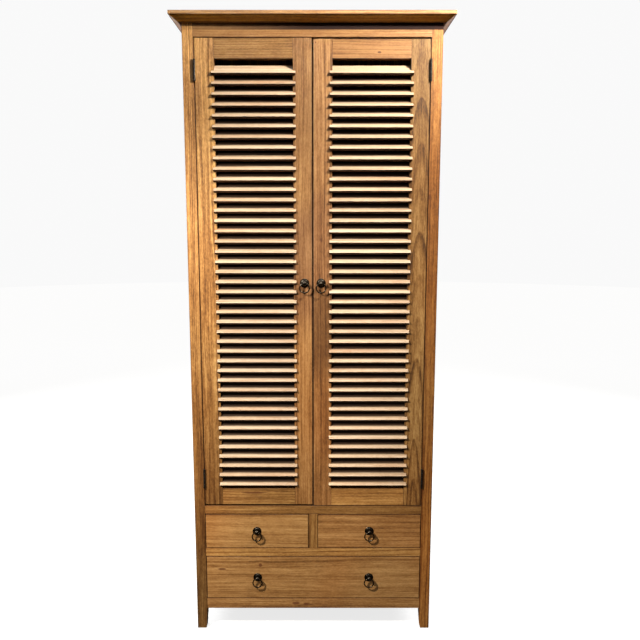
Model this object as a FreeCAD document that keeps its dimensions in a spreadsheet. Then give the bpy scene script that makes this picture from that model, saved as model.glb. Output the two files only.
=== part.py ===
import FreeCAD, Part
import os
import re

import Sketcher

# Louvred door cabinet in solid wood, in millimetres.
# X runs across the front, the front faces -Y and +Z is up.
# The origin is at the middle of the footprint, on the floor.

SIZES = (
    ("body_width", 780, "outer width over the posts"),
    ("body_depth", 417, "outer depth over the posts"),
    ("body_height", 1959, "floor to the underside of the top board"),
    ("post_width", 34, "post section across the front"),
    ("post_depth", 34, "post section front to back"),
    ("leg_height", 72, "clear height under the bottom rails"),
    ("leg_taper", 5, "how much each inner face of a foot tapers in"),
    ("front_rail_depth", 26, "thickness of the front rails"),
    ("bottom_rail_height", 36, "rail under the large drawer"),
    ("large_opening", 150, "height of the large drawer's opening"),
    ("drawer_rail_height", 29, "rail between the drawer rows"),
    ("small_opening", 118.5, "height of the small drawers' openings"),
    ("mid_rail_height", 28.5, "rail between the small drawers and the doors"),
    ("frieze_height", 56, "rail above the doors"),
    ("divider_width", 30, "upright between the small drawers"),
    ("tenon_thickness", 10, "tenons of the carcass rails"),
    ("tenon_shoulder", 5, "shoulder above and below a carcass tenon"),
    ("rail_tenon", 18, "length of the carcass tenons"),
    ("stub_tenon", 8, "length of the divider's tenons"),
    ("side_recess", 2, "side rails set back from the posts' outer faces"),
    ("side_rail_thickness", 18, "thickness of the side rails"),
    ("side_top_rail_height", 60, "upper side rail"),
    ("side_bottom_rail_height", 78, "lower side rail"),
    ("side_panel_thickness", 10, "side panel, flush with the rails inside"),
    ("panel_groove", 6, "depth of the grooves that hold the panels"),
    ("panel_play", 0.5, "room for a panel to move in its groove"),
    ("back_rail_depth", 20, "thickness of the back rails"),
    ("back_rail_height", 60, "top and bottom back rails"),
    ("back_panel_thickness", 6, "back panel"),
    ("top_thickness", 11, "top board"),
    ("top_overhang", 33, "top board beyond the posts, front and sides"),
    ("crown_height", 16, "sloped moulding under the top board"),
    ("crown_foot", 8, "the moulding's reach at its foot"),
    ("crown_setback", 2, "board edge beyond the moulding"),
    ("shelf_thickness", 14, "cupboard floor and shelves"),
    ("shelf_count", 3, "shelves above the cupboard floor"),
    ("shelf_setback", 55, "front edge of a shelf behind the front"),
    ("shelf_play", 0.5, "room at each end of a floor or shelf"),
    ("batten_width", 15.5, "battens under the floor and shelves"),
    ("batten_height", 16, "battens under the floor and shelves"),
    ("stop_depth", 12, "thickness of the door stop"),
    ("stop_drop", 10, "door stop showing below the frieze"),
    ("stop_hold", 20, "door stop glued behind the frieze"),
    ("ledge_width", 12, "how far a runner reaches under a drawer"),
    ("ledge_thickness", 12, "thickness of a runner's ledge"),
    ("guide_height", 24, "a runner's upright above its ledge"),
    ("guide_play", 1, "centre guide set in from the divider's faces"),
    ("door_thickness", 25, "door frames"),
    ("side_gap", 2, "between a door and its post"),
    ("meeting_gap", 3, "between the two doors"),
    ("left_door_head_gap", 1.8, "above the left door"),
    ("left_door_sill_gap", 5.5, "below the left door"),
    ("right_door_head_gap", 4.8, "above the right door"),
    ("right_door_sill_gap", 2, "below the right door"),
    ("stile_width", 58, "door stiles"),
    ("louvre_sill", 60, "carcass sill to the louvre opening"),
    ("louvre_head", 61, "louvre opening to the carcass head"),
    ("door_tenon", 30, "length of the door rails' tenons"),
    ("door_tenon_thickness", 8, "door rails' tenons"),
    ("door_tenon_shoulder", 8, "shoulder above and below a door tenon"),
    ("slat_thickness", 8, "louvre slat"),
    ("slat_angle", 45, "slope of the slats, down to the front"),
    ("slat_pitch", 31.5, "height from one slat to the next"),
    ("slat_proud", 8, "slat in front of the door's face"),
    ("slat_setback", 0.5, "slat's back corner inside the door's back"),
    ("slat_start", 13.8, "opening's sill to the lowest slat's front edge"),
    ("slat_headroom", 4, "least room above the highest slat"),
    ("housing_depth", 8.5, "slanted housings in the stiles"),
    ("slat_play", 0.25, "room at each end of a slat"),
    ("hinge_height", 64, "butt hinge"),
    ("hinge_inset", 62, "hinge from the door opening's head and sill"),
    ("leaf_thickness", 1.8, "hinge leaf, let in flush"),
    ("leaf_width", 20, "hinge leaf's reach into the wood"),
    ("barrel_radius", 3.6, "hinge barrel"),
    ("barrel_proud", 2.5, "hinge axis in front of the face"),
    ("barrel_play", 0.35, "room round the barrel"),
    ("knuckle_count", 5, "knuckles in a hinge's barrel"),
    ("knuckle_play", 0.3, "between two knuckles"),
    ("pin_radius", 1.6, "hinge pin"),
    ("pin_play", 0.06, "running fit of a door knuckle on its pin"),
    ("drawer_front_thickness", 20, "drawer fronts"),
    ("drawer_gap", 1.5, "beside and below a drawer front"),
    ("drawer_head_gap", 2, "above a drawer front"),
    ("drawer_lift", 0.4, "drawer sides above their ledges"),
    ("drawer_length", 370, "drawer, front to back"),
    ("drawer_side_thickness", 11, "drawer sides and backs"),
    ("drawer_side_inset", 0.5, "drawer sides set in from the front's ends"),
    ("drawer_side_clear", 16, "drawer sides lower than their opening"),
    ("drawer_dado", 6, "housings in the drawer fronts"),
    ("drawer_back_dado", 4, "housings for the drawer backs"),
    ("drawer_back_drop", 5, "drawer back below the sides' top"),
    ("drawer_back_inset", 8, "sides beyond the drawer back"),
    ("drawer_bottom_thickness", 5, "drawer bottoms"),
    ("drawer_bottom_rise", 8, "below the drawer bottoms"),
    ("pull_inset", 24.5, "door pull from the meeting edge"),
    ("rosette_radius", 14.5, "pull's domed rosette"),
    ("rosette_rim", 1.2, "thickness of the rosette's rim"),
    ("shoulder_radius", 9.5, "where the rosette's slope eases"),
    ("shoulder_height", 3.6, "rosette at that shoulder"),
    ("dome_height", 4.6, "rosette at its neck"),
    ("neck_radius", 3.8, "neck between the rosette and the ball"),
    ("knob_radius", 7.5, "ball that carries the ring"),
    ("knob_reach", 11, "ball's middle in front of the wood"),
    ("stud_radius", 2, "pull's threaded stud"),
    ("stud_play", 0.1, "room round the stud"),
    ("stud_end", 1, "stud beyond its nut"),
    ("nut_radius", 4, "across the corners of the nut, halved"),
    ("nut_height", 3, "nut behind the wood"),
    ("ring_radius", 15, "pull ring, to the middle of its wire"),
    ("wire_radius", 1.5, "pull ring's wire"),
    ("ring_flats", 24, "flats that the ring is bent in"),
    ("ring_play", 0.35, "room for the ring in the ball"),
)

DERIVED = (
    ("front_y", "(top_overhang - body_depth) / 2", "face of the posts and doors"),
    ("back_y", "(top_overhang + body_depth) / 2", "back of the rear posts"),
    ("half_width", "body_width / 2", "outer face of a post"),
    ("inner_x", "half_width - post_width", "inner face of a post"),
    ("wall_x", "half_width - side_recess - side_rail_thickness", "inner face of a side"),
    ("side_span", "body_depth - 2 * post_depth", "between the front and rear posts"),
    ("large_base", "leg_height + bottom_rail_height", "sill of the large drawer"),
    ("rail_base", "large_base + large_opening", "underside of the drawer rail"),
    ("small_base", "rail_base + drawer_rail_height", "sill of the small drawers"),
    ("mid_base", "small_base + small_opening", "underside of the mid rail"),
    ("sill_z", "mid_base + mid_rail_height", "sill of the doors"),
    ("head_z", "body_height - frieze_height", "head of the doors"),
    ("panel_y", "back_y - back_rail_depth - back_panel_thickness", "back panel's front"),
    ("shelf_pitch", "(body_height - sill_z) / (shelf_count + 1)", "one shelf to the next"),
    ("opening_z", "sill_z + louvre_sill", "sill of the louvre opening"),
    ("opening_height", "head_z - louvre_head - opening_z", "louvre opening"),
    ("door_width", "inner_x - side_gap - meeting_gap / 2", "one door"),
    ("opening_width", "door_width - 2 * stile_width", "louvre opening"),
    ("slat_slant", "slat_thickness * sin(slat_angle * 1deg)", "a slat's end, front to back"),
    ("slat_run", "door_thickness + slat_proud - slat_setback - slat_slant", "a slat's face, front to back"),
    ("slat_rise", "slat_run * tan(slat_angle * 1deg)", "a slat's face, bottom to top"),
    ("slat_count", "floor((opening_height - slat_start - slat_rise - slat_headroom) / slat_pitch) + 1",
     "slats in a door"),
    ("knuckle_pitch", "hinge_height / knuckle_count", "one knuckle to the next"),
    ("upper_hinge_z", "head_z - hinge_inset - hinge_height", "foot of the upper hinge"),
    ("lower_hinge_z", "sill_z + hinge_inset", "foot of the lower hinge"),
    ("hinge_x", "inner_x - side_gap / 2", "hinge axis from the middle"),
    ("small_width", "inner_x - divider_width / 2", "opening of a small drawer"),
    ("pull_z", "(sill_z + head_z) / 2", "door pulls"),
)

START = 1
END = 2
CENTRE = 3
ROOT_POINT = -1
ACROSS_AXIS = -1
UPRIGHT_AXIS = -2
QUARTER_TURN = 90
FULL_TURN = 360
HALF = 0.5
INTO_WOOD = FreeCAD.Rotation(FreeCAD.Vector(1, 0, 0), -QUARTER_TURN)
OUT_OF_WOOD = FreeCAD.Rotation(FreeCAD.Vector(1, 0, 0), QUARTER_TURN)
ACROSS = FreeCAD.Rotation(FreeCAD.Vector(0, 1, 0), QUARTER_TURN)
# Small round hardware repeats so often that it is drawn with flats.
BARREL_FLATS = 12
KNOB_FLATS = 16
# The corners of a pull's ball, by their angle from the neck, in degrees.
BALL_BANDS = (45, 75, 105, 135, 165)
HEXAGON = 6
DRAWER_ROWS = "2"
PARTS_FOLDER = "parts"
ORIGIN = ("0", "0", "0")

doc = FreeCAD.newDocument("LouvredCabinet")
sheet = doc.addObject("Spreadsheet::Sheet", "Sizes")
ALIASES = {row[0] for row in SIZES + DERIVED}
WORD = re.compile(r"[A-Za-z_]\w*")
nodes = []


def fill_sheet():
    """Write every size, and every size worked out from them, into the spreadsheet."""
    rows = [(alias, str(number), note) for alias, number, note in SIZES]
    rows += [(alias, "=" + formula, note) for alias, formula, note in DERIVED]
    for line, (alias, content, note) in enumerate(rows, start=1):
        sheet.set(f"A{line}", note)
        sheet.set(f"B{line}", content)
        sheet.setAlias(f"B{line}", alias)
    doc.recompute()


def value(formula):
    """The number that a formula on the sheet's sizes gives now."""
    return float(sheet.evalExpression(formula))


def bind(target, path, formula):
    """Tie a property to a formula written with the sheet's sizes."""
    target.setExpression(path, WORD.sub(from_sheet, formula))


def from_sheet(match):
    word = match.group()
    return "Sizes." + word if word in ALIASES else word


def place(target, at):
    """Tie an object's place to three formulas."""
    for axis, formula in zip("xyz", at):
        bind(target, "Placement.Base." + axis, formula)


def keep(target, name):
    """Make an object one of the cabinet's sub-parts."""
    target.Label = name
    nodes.append(target)
    return target


# Sketches


def sketch_on(body, role, offset="0"):
    """A new sketch on one of the body's own origin planes, or parallel to it."""
    plane = next(item for item in body.Origin.OriginFeatures if item.Role == role)
    sketch = body.newObject("Sketcher::SketchObject", body.Name + "_sketch")
    sketch.AttachmentSupport = [(plane, "")]
    sketch.MapMode = "FlatFace"
    bind(sketch, "AttachmentOffset.Base.z", offset)
    return sketch


def fix_point(sketch, item, point, kind, formula):
    """Hold one coordinate of a point at a formula's value."""
    if formula == "0":
        axis = UPRIGHT_AXIS if kind == "DistanceX" else ACROSS_AXIS
        sketch.addConstraint(Sketcher.Constraint("PointOnObject", item, point, axis))
        return
    held = Sketcher.Constraint(kind, ROOT_POINT, START, item, point, value(formula))
    number = sketch.addConstraint(held)
    bind(sketch, f"Constraints[{number}]", formula)


def outline(sketch, corners):
    """A closed outline of straight lines through corners given as pairs of formulas."""
    points = [FreeCAD.Vector(value(across), value(up), 0) for across, up in corners]
    first = sketch.GeometryCount
    for here, point in enumerate(points):
        following = points[(here + 1) % len(points)]
        sketch.addGeometry(Part.LineSegment(point, following))
    for here in range(len(points)):
        following = first + (here + 1) % len(points)
        sketch.addConstraint(Sketcher.Constraint("Coincident", first + here, END, following, START))
    for here, (across, up) in enumerate(corners):
        fix_point(sketch, first + here, START, "DistanceX", across)
        fix_point(sketch, first + here, START, "DistanceY", up)


def rectangle(sketch, at, size):
    """A rectangle from its lower corner and its two sides."""
    right = f"{at[0]} + {size[0]}"
    top = f"{at[1]} + {size[1]}"
    outline(sketch, (at, (right, at[1]), (right, top), (at[0], top)))


def barrel_outline(sketch, radius):
    """A small circle about the sketch's origin, drawn with flats whose corners lie on the radius."""
    corners = []
    for number in range(BARREL_FLATS):
        turn = FULL_TURN * (number + HALF) / BARREL_FLATS
        corners.append((f"{radius} * cos({turn}deg)", f"{radius} * sin({turn}deg)"))
    outline(sketch, corners)


def circle(sketch, at, radius):
    """A circle about a point given as a pair of formulas."""
    centre = FreeCAD.Vector(value(at[0]), value(at[1]), 0)
    item = sketch.addGeometry(Part.Circle(centre, FreeCAD.Vector(0, 0, 1), value(radius)))
    fix_point(sketch, item, CENTRE, "DistanceX", at[0])
    fix_point(sketch, item, CENTRE, "DistanceY", at[1])
    number = sketch.addConstraint(Sketcher.Constraint("Radius", item, value(radius)))
    bind(sketch, f"Constraints[{number}]", radius)


# Features of a body


def new_body(name, at):
    """An empty body at a place given as formulas."""
    body = doc.addObject("PartDesign::Body", name)
    place(body, at)
    return body


def pad(body, sketch, length, along=True):
    """Grow a sketch along its normal, or against it."""
    feature = body.newObject("PartDesign::Pad", body.Name + "_pad")
    feature.Profile = sketch
    feature.Reversed = not along
    bind(feature, "Length", length)
    return feature


def pocket(body, sketch, depth, along=True):
    """Cut a sketch into the body along its normal, or against it."""
    feature = body.newObject("PartDesign::Pocket", body.Name + "_pocket")
    feature.Profile = sketch
    feature.Reversed = along
    bind(feature, "Length", depth)
    return feature


def repeat_up(body, feature, pitch, count):
    """Repeat a feature upwards at an even pitch."""
    pattern = body.newObject("PartDesign::LinearPattern", body.Name + "_pattern")
    pattern.Originals = [feature]
    rising = next(item for item in body.Origin.OriginFeatures if item.Role == "Z_Axis")
    pattern.Direction = (rising, [""])
    bind(pattern, "Length", f"{pitch} * ({count} - 1)")
    bind(pattern, "Occurrences", count)
    body.Tip = pattern
    return pattern


def grow_block(body, at, size):
    """Add a rectangular block to a body, such as a tenon."""
    sketch = sketch_on(body, "XY_Plane", at[2])
    rectangle(sketch, at[:2], size[:2])
    return pad(body, sketch, size[2])


def cut_block(body, at, size):
    """Cut a rectangular recess in a body, such as a mortise or a groove."""
    sketch = sketch_on(body, "XY_Plane", at[2])
    rectangle(sketch, at[:2], size[:2])
    return pocket(body, sketch, size[2])


def board(name, at, size):
    """A square-edged board from its lower corner and its three sides."""
    body = new_body(name, at)
    grow_block(body, ("0", "0", "0"), size)
    return body


def bore_through(body, at, radius, depth):
    """A round hole from the front face to the back."""
    sketch = sketch_on(body, "XZ_Plane")
    circle(sketch, at, radius)
    return pocket(body, sketch, depth, along=False)


# Whole objects


def mirrored(source, name, plane_x="0"):
    """The same object on the other side of an upright plane."""
    copy = doc.addObject("Part::Mirroring", name)
    copy.Source = source
    copy.Normal = FreeCAD.Vector(1, 0, 0)
    bind(copy, "Base.x", plane_x)
    return copy


def group(name, members):
    """Like pieces that share one node, each still its own solid."""
    compound = doc.addObject("Part::Compound", name)
    compound.Links = members
    return compound


def keep_pair(build, name):
    """A left piece and its mirror image on the right."""
    left = keep(build("left_" + name), "left_" + name)
    keep(mirrored(left, "right_" + name), "right_" + name)


# Carcass


FRONT_RAILS = (
    ("bottom_rail", "leg_height", "bottom_rail_height"),
    ("drawer_rail", "rail_base", "drawer_rail_height"),
    ("mid_rail", "mid_base", "mid_rail_height"),
    ("frieze_rail", "head_z", "frieze_height"),
)
BACK_RAILS = (
    ("back_bottom_rail", "leg_height", "back_rail_height"),
    ("back_middle_rail", "rail_base", "drawer_rail_height"),
    ("back_top_rail", "body_height - back_rail_height", "back_rail_height"),
)


def tenoned_rail(name, face_y, base, depth, height):
    """A cross rail between two posts, with a tenon at each end."""
    body = board(name, ("-inner_x", face_y, base), ("2 * inner_x", depth, height))
    at = ("-rail_tenon", f"({depth} - tenon_thickness) / 2", "tenon_shoulder")
    tall = f"{height} - 2 * tenon_shoulder"
    grow_block(body, at, ("2 * (inner_x + rail_tenon)", "tenon_thickness", tall))
    return body


def cut_rail_mortise(post, rail_y, depth, base, height):
    """A post's mortise for one rail's tenon."""
    tenon_y = f"{rail_y} + ({depth} - tenon_thickness) / 2"
    at = ("post_width - rail_tenon", tenon_y, f"{base} + tenon_shoulder")
    cut_block(post, at, ("rail_tenon", "tenon_thickness", f"{height} - 2 * tenon_shoulder"))


def cut_panel_groove(post, groove_y):
    """The groove that takes the side panel and the side rails' stub tenons."""
    at = ("half_width - wall_x - side_panel_thickness", groove_y, "leg_height")
    cut_block(post, at, ("side_panel_thickness", "panel_groove", "body_height - leg_height"))


def post_blank(name, at, wedge):
    """A post with a foot that tapers on its two inner faces."""
    body = new_body(name, at)
    front_view = sketch_on(body, "XZ_Plane")
    corners = (
        ("0", "0"),
        ("post_width - leg_taper", "0"),
        ("post_width", "leg_height"),
        ("post_width", "body_height"),
        ("0", "body_height"),
    )
    outline(front_view, corners)
    pad(body, front_view, "post_depth", along=False)
    side_view = sketch_on(body, "YZ_Plane")
    outline(side_view, wedge)
    pocket(body, side_view, "post_width")
    return body


def build_front_post(name):
    wedge = (("post_depth - leg_taper", "0"), ("post_depth", "0"), ("post_depth", "leg_height"))
    body = post_blank(name, ("-half_width", "front_y", "0"), wedge)
    for _, base, height in FRONT_RAILS:
        cut_rail_mortise(body, "0", "front_rail_depth", base, height)
    cut_panel_groove(body, "post_depth - panel_groove")
    for foot in ("upper_hinge_z", "lower_hinge_z"):
        cut_hinge_recess(body, "post_width - leaf_thickness", "post_width + side_gap / 2", foot)
    return body


def build_rear_post(name):
    wedge = (("0", "0"), ("leg_taper", "0"), ("0", "leg_height"))
    body = post_blank(name, ("-half_width", "back_y - post_depth", "0"), wedge)
    rail_y = "post_depth - back_rail_depth"
    for _, base, height in BACK_RAILS:
        cut_rail_mortise(body, rail_y, "back_rail_depth", base, height)
    cut_panel_groove(body, "0")
    at = ("post_width - panel_groove", f"{rail_y} - back_panel_thickness", "leg_height")
    cut_block(body, at, ("panel_groove", "back_panel_thickness", "body_height - leg_height"))
    return body


def build_side_rail(name, base, height, groove_z):
    """A side rail with stub tenons and the groove along the edge that meets the panel."""
    at = ("-wall_x - side_rail_thickness", "front_y + post_depth", base)
    body = board(name, at, ("side_rail_thickness", "side_span", height))
    stub = ("side_rail_thickness - side_panel_thickness", "-panel_groove", "0")
    grow_block(body, stub, ("side_panel_thickness", "side_span + 2 * panel_groove", height))
    groove = (stub[0], stub[1], groove_z)
    cut_block(body, groove, ("side_panel_thickness", "side_span + 2 * panel_groove", "panel_groove"))
    return body


def build_side_panel(name):
    foot = "leg_height + side_bottom_rail_height - panel_groove + panel_play"
    at = ("-wall_x - side_panel_thickness", "front_y + post_depth - panel_groove + panel_play", foot)
    tall = "body_height - leg_height - side_bottom_rail_height - side_top_rail_height"
    growth = "2 * (panel_groove - panel_play)"
    return board(name, at, ("side_panel_thickness", f"side_span + {growth}", f"{tall} + {growth}"))


def build_back_panel():
    at = ("-inner_x - panel_groove + panel_play", "panel_y", "leg_height + panel_play")
    wide = "2 * (inner_x + panel_groove - panel_play)"
    tall = "body_height - leg_height - 2 * panel_play"
    return board("back_panel", at, (wide, "back_panel_thickness", tall))


def build_divider():
    """The upright between the small drawers, stub-tenoned into the rails above and below."""
    at = ("-divider_width / 2", "front_y", "small_base")
    body = board("drawer_divider", at, ("divider_width", "front_rail_depth", "small_opening"))
    stub = ("tenon_shoulder", "(front_rail_depth - tenon_thickness) / 2", "-stub_tenon")
    size = ("divider_width - 2 * tenon_shoulder", "tenon_thickness", "small_opening + 2 * stub_tenon")
    grow_block(body, stub, size)
    return body


def cut_divider_mortise(rail, base):
    """The mortise for the divider's stub tenon."""
    at = ("inner_x - divider_width / 2 + tenon_shoulder", "(front_rail_depth - tenon_thickness) / 2", base)
    cut_block(rail, at, ("divider_width - 2 * tenon_shoulder", "tenon_thickness", "stub_tenon"))


def build_carcass_frame():
    keep_pair(build_front_post, "front_post")
    keep_pair(build_rear_post, "rear_post")
    rails = {}
    for name, base, height in FRONT_RAILS:
        rails[name] = keep(tenoned_rail(name, "front_y", base, "front_rail_depth", height), name)
    cut_divider_mortise(rails["drawer_rail"], "drawer_rail_height - stub_tenon")
    cut_divider_mortise(rails["mid_rail"], "0")
    keep(build_divider(), "drawer_divider")
    backs = []
    for name, base, height in BACK_RAILS:
        backs.append(tenoned_rail(name, "back_y - back_rail_depth", base, "back_rail_depth", height))
    keep(group("back_rails", backs), "back_rails")
    keep(build_back_panel(), "back_panel")
    upper_base = "body_height - side_top_rail_height"
    upper = build_side_rail("side_top_rail", upper_base, "side_top_rail_height", "0")
    lower_groove = "side_bottom_rail_height - panel_groove"
    lower = build_side_rail("side_bottom_rail", "leg_height", "side_bottom_rail_height", lower_groove)
    others = [mirrored(rail, rail.Name + "_right") for rail in (upper, lower)]
    keep(group("side_rails", [upper, lower] + others), "side_rails")
    keep_pair(build_side_panel, "side_panel")


# Cornice


def build_top_board():
    at = ("-half_width - top_overhang", "front_y - top_overhang", "body_height")
    size = ("body_width + 2 * top_overhang", "body_depth + top_overhang", "top_thickness")
    return board("top_board", at, size)


def crown_section(sketch):
    """The moulding's section: a slope that runs out from its foot to the board's edge."""
    corners = (
        ("0", "0"),
        ("-crown_foot", "0"),
        ("-top_overhang + crown_setback", "crown_height"),
        ("0", "crown_height"),
    )
    outline(sketch, corners)


def build_crown_front():
    """The front moulding, mitred at both ends."""
    body = new_body("crown_front", ("0", "front_y", "body_height - crown_height"))
    section = sketch_on(body, "YZ_Plane", "-half_width - top_overhang")
    crown_section(section)
    pad(body, section, "body_width + 2 * top_overhang")
    for side in ("", "-"):
        mitre = sketch_on(body, "XY_Plane")
        inner = f"{side}half_width"
        outer = f"{side}(half_width + top_overhang)"
        outline(mitre, ((inner, "0"), (outer, "-top_overhang"), (outer, "0")))
        pocket(body, mitre, "crown_height")
    return body


def build_crown_side(name):
    """A side moulding, mitred at the front and square at the back."""
    body = new_body(name, ("-half_width", "front_y", "body_height - crown_height"))
    section = sketch_on(body, "XZ_Plane", "top_overhang")
    crown_section(section)
    pad(body, section, "body_depth + top_overhang", along=False)
    mitre = sketch_on(body, "XY_Plane")
    outline(mitre, (("0", "0"), ("-top_overhang", "-top_overhang"), ("0", "-top_overhang")))
    pocket(body, mitre, "crown_height")
    return body


def build_cornice():
    keep(build_top_board(), "top_board")
    keep(build_crown_front(), "crown_front")
    keep_pair(build_crown_side, "crown")


# Inside the cupboard


def notch_corner(body, corner_x, corner_y, depth):
    """Cut a board's corner away round a post."""
    at = (corner_x, corner_y, "0")
    cut_block(body, at, ("wall_x - inner_x", depth, "shelf_thickness"))


def build_shelf_board(name, setback, base):
    """A board between the side walls, notched round the rear posts."""
    at = ("-wall_x + shelf_play", f"front_y + {setback}", base)
    depth = f"panel_y - front_y - {setback}"
    body = board(name, at, ("2 * (wall_x - shelf_play)", depth, "shelf_thickness"))
    notch = "post_depth - back_rail_depth - back_panel_thickness"
    for corner_x in ("-shelf_play", "2 * wall_x - shelf_play - (wall_x - inner_x)"):
        notch_corner(body, corner_x, f"{depth} - ({notch})", notch)
    return body


def build_cupboard_floor():
    body = build_shelf_board("cupboard_floor", "front_rail_depth", "sill_z - shelf_thickness")
    notch = "post_depth - front_rail_depth"
    for corner_x in ("-shelf_play", "2 * wall_x - shelf_play - (wall_x - inner_x)"):
        notch_corner(body, corner_x, "0", notch)
    return body


def build_shelves():
    body = build_shelf_board("shelves", "shelf_setback", "sill_z + shelf_pitch - shelf_thickness")
    repeat_up_body(body)
    return body


def repeat_up_body(body):
    """Repeat a whole shelf at every level."""
    features = [item for item in body.Group if item.isDerivedFrom("PartDesign::Feature")]
    pattern = repeat_up(body, features[0], "shelf_pitch", "shelf_count")
    pattern.Originals = features


def build_battens():
    """Battens under the cupboard floor and every shelf, on both walls."""
    at = ("-wall_x", "front_y + post_depth", "sill_z - shelf_thickness - batten_height")
    left = new_body("left_battens", at)
    strip = grow_block(left, ("0", "0", "0"), ("batten_width", "side_span", "batten_height"))
    repeat_up(left, strip, "shelf_pitch", "(shelf_count + 1)")
    return group("shelf_battens", [left, mirrored(left, "right_battens")])


def build_door_stop():
    at = ("-inner_x", "front_y + front_rail_depth", "head_z - stop_drop")
    return board("door_stop", at, ("2 * inner_x", "stop_depth", "stop_drop + stop_hold"))


def build_side_runners():
    """L-shaped runners on both walls, one pair under each row of drawers."""
    left = new_body("left_runners", ("-wall_x", "front_y + post_depth", "large_base - ledge_thickness"))
    section = sketch_on(left, "XZ_Plane")
    guide = "wall_x - inner_x"
    corners = (
        ("0", "0"),
        (f"{guide} + ledge_width", "0"),
        (f"{guide} + ledge_width", "ledge_thickness"),
        (guide, "ledge_thickness"),
        (guide, "ledge_thickness + guide_height"),
        ("0", "ledge_thickness + guide_height"),
    )
    outline(section, corners)
    strip = pad(left, section, "side_span", along=False)
    repeat_up(left, strip, "(small_base - large_base)", DRAWER_ROWS)
    return group("drawer_side_runners", [left, mirrored(left, "right_runners")])


def build_centre_runner():
    """The runner between the small drawers, an upright guide on a wide ledge."""
    body = new_body("centre_runner", ("0", "front_y + front_rail_depth", "small_base - ledge_thickness"))
    section = sketch_on(body, "XZ_Plane")
    wide = "divider_width / 2 + ledge_width"
    slim = "divider_width / 2 - guide_play"
    top = "ledge_thickness + guide_height"
    corners = (
        (f"-({wide})", "0"),
        (wide, "0"),
        (wide, "ledge_thickness"),
        (slim, "ledge_thickness"),
        (slim, top),
        (f"-({slim})", top),
        (f"-({slim})", "ledge_thickness"),
        (f"-({wide})", "ledge_thickness"),
    )
    outline(section, corners)
    pad(body, section, "panel_y - front_y - front_rail_depth", along=False)
    return body


def build_inside():
    keep(build_cupboard_floor(), "cupboard_floor")
    keep(build_shelves(), "shelves")
    keep(build_battens(), "shelf_battens")
    keep(build_door_stop(), "door_stop")
    keep(build_side_runners(), "drawer_side_runners")
    keep(build_centre_runner(), "centre_runner")


# Hinges


# Where the first gap in a leaf's barrel starts, and how many gaps it has.
FRAME_LEAF_GAPS = ("knuckle_pitch", "floor(knuckle_count / 2)")
DOOR_LEAF_GAPS = ("0", "ceil(knuckle_count / 2)")


def cut_hinge_recess(body, leaf_x, barrel_x, foot):
    """Let a leaf and the barrel of one hinge into a post's or stile's edge."""
    cut_block(body, (leaf_x, "0", foot), ("leaf_thickness", "leaf_width", "hinge_height"))
    scoop = sketch_on(body, "XY_Plane", foot)
    circle(scoop, (barrel_x, "-barrel_proud"), "barrel_radius + barrel_play")
    pocket(body, scoop, "hinge_height")


def build_leaf(name, foot, plate_x, gaps, bore):
    """One hinge leaf: a plate and a barrel with the other leaf's knuckles cut away."""
    body = new_body(name, ("-hinge_x", "front_y - barrel_proud", foot))
    grow_block(body, (plate_x, "0", "0"), ("leaf_thickness", "barrel_proud + leaf_width", "hinge_height"))
    barrel = sketch_on(body, "XY_Plane")
    barrel_outline(barrel, "barrel_radius")
    pad(body, barrel, "hinge_height")
    hole = sketch_on(body, "XY_Plane")
    barrel_outline(hole, f"({bore}) / cos({FULL_TURN * HALF / BARREL_FLATS}deg)")
    pocket(body, hole, "hinge_height")
    first_gap, gap_count = gaps
    reach = "(barrel_radius + barrel_play)"
    notch = (f"-{reach}", f"-{reach}", f"{first_gap} - knuckle_play / 2")
    cut = cut_block(body, notch, (f"2 * {reach}", f"2 * {reach}", "knuckle_pitch + knuckle_play"))
    repeat_up(body, cut, "2 * knuckle_pitch", gap_count)
    return body


def build_pin(name, foot):
    pin = doc.addObject("Part::Prism", name)
    pin.Polygon = BARREL_FLATS
    bind(pin, "Circumradius", "pin_radius")
    bind(pin, "Height", "hinge_height")
    place(pin, ("-hinge_x", "front_y - barrel_proud", foot))
    return pin


def build_frame_leaves():
    """The leaves screwed to the posts, each with its hinge pin."""
    left = []
    for level in ("upper", "lower"):
        foot = f"{level}_hinge_z"
        plate_x = "-side_gap / 2 - leaf_thickness"
        left.append(build_leaf(f"{level}_frame_leaf", foot, plate_x, FRAME_LEAF_GAPS, "pin_radius"))
        left.append(build_pin(f"{level}_pin", foot))
    right = [mirrored(item, item.Name + "_right") for item in left]
    keep(group("frame_hinge_leaves", left + right), "frame_hinge_leaves")


# Pulls


def cut_from(name, base, tool):
    result = doc.addObject("Part::Cut", name)
    result.Base = base
    result.Tool = tool
    return result


def flat_turning(name, profile, reach, flats):
    """A turning with flat sides: one outline, cut from a block again and again round its axis."""
    low, high = profile[0][1], profile[-1][1]
    body = new_body(name, ORIGIN)
    grow_block(body, (f"-{reach}", f"-{reach}", low), (f"2 * {reach}", f"2 * {reach}", f"{high} - ({low})"))
    sketch = sketch_on(body, "XZ_Plane", f"2 * {reach}")
    waste = f"({high} - ({low}))"
    rectangle(sketch, (f"-2 * {reach}", f"{low} - {waste}"), (f"4 * {reach}", f"3 * {waste}"))
    other_side = [(f"-({radius})", height) for radius, height in reversed(profile)]
    outline(sketch, list(profile) + other_side)
    cut = pocket(body, sketch, f"4 * {reach}", along=False)
    pattern = body.newObject("PartDesign::PolarPattern", name + "_turns")
    pattern.Originals = [cut]
    spindle = next(item for item in body.Origin.OriginFeatures if item.Role == "Z_Axis")
    pattern.Axis = (spindle, [""])
    pattern.Occurrences = flats // 2
    pattern.Angle = FULL_TURN / 2 - FULL_TURN / flats
    body.Tip = pattern
    return body


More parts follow.
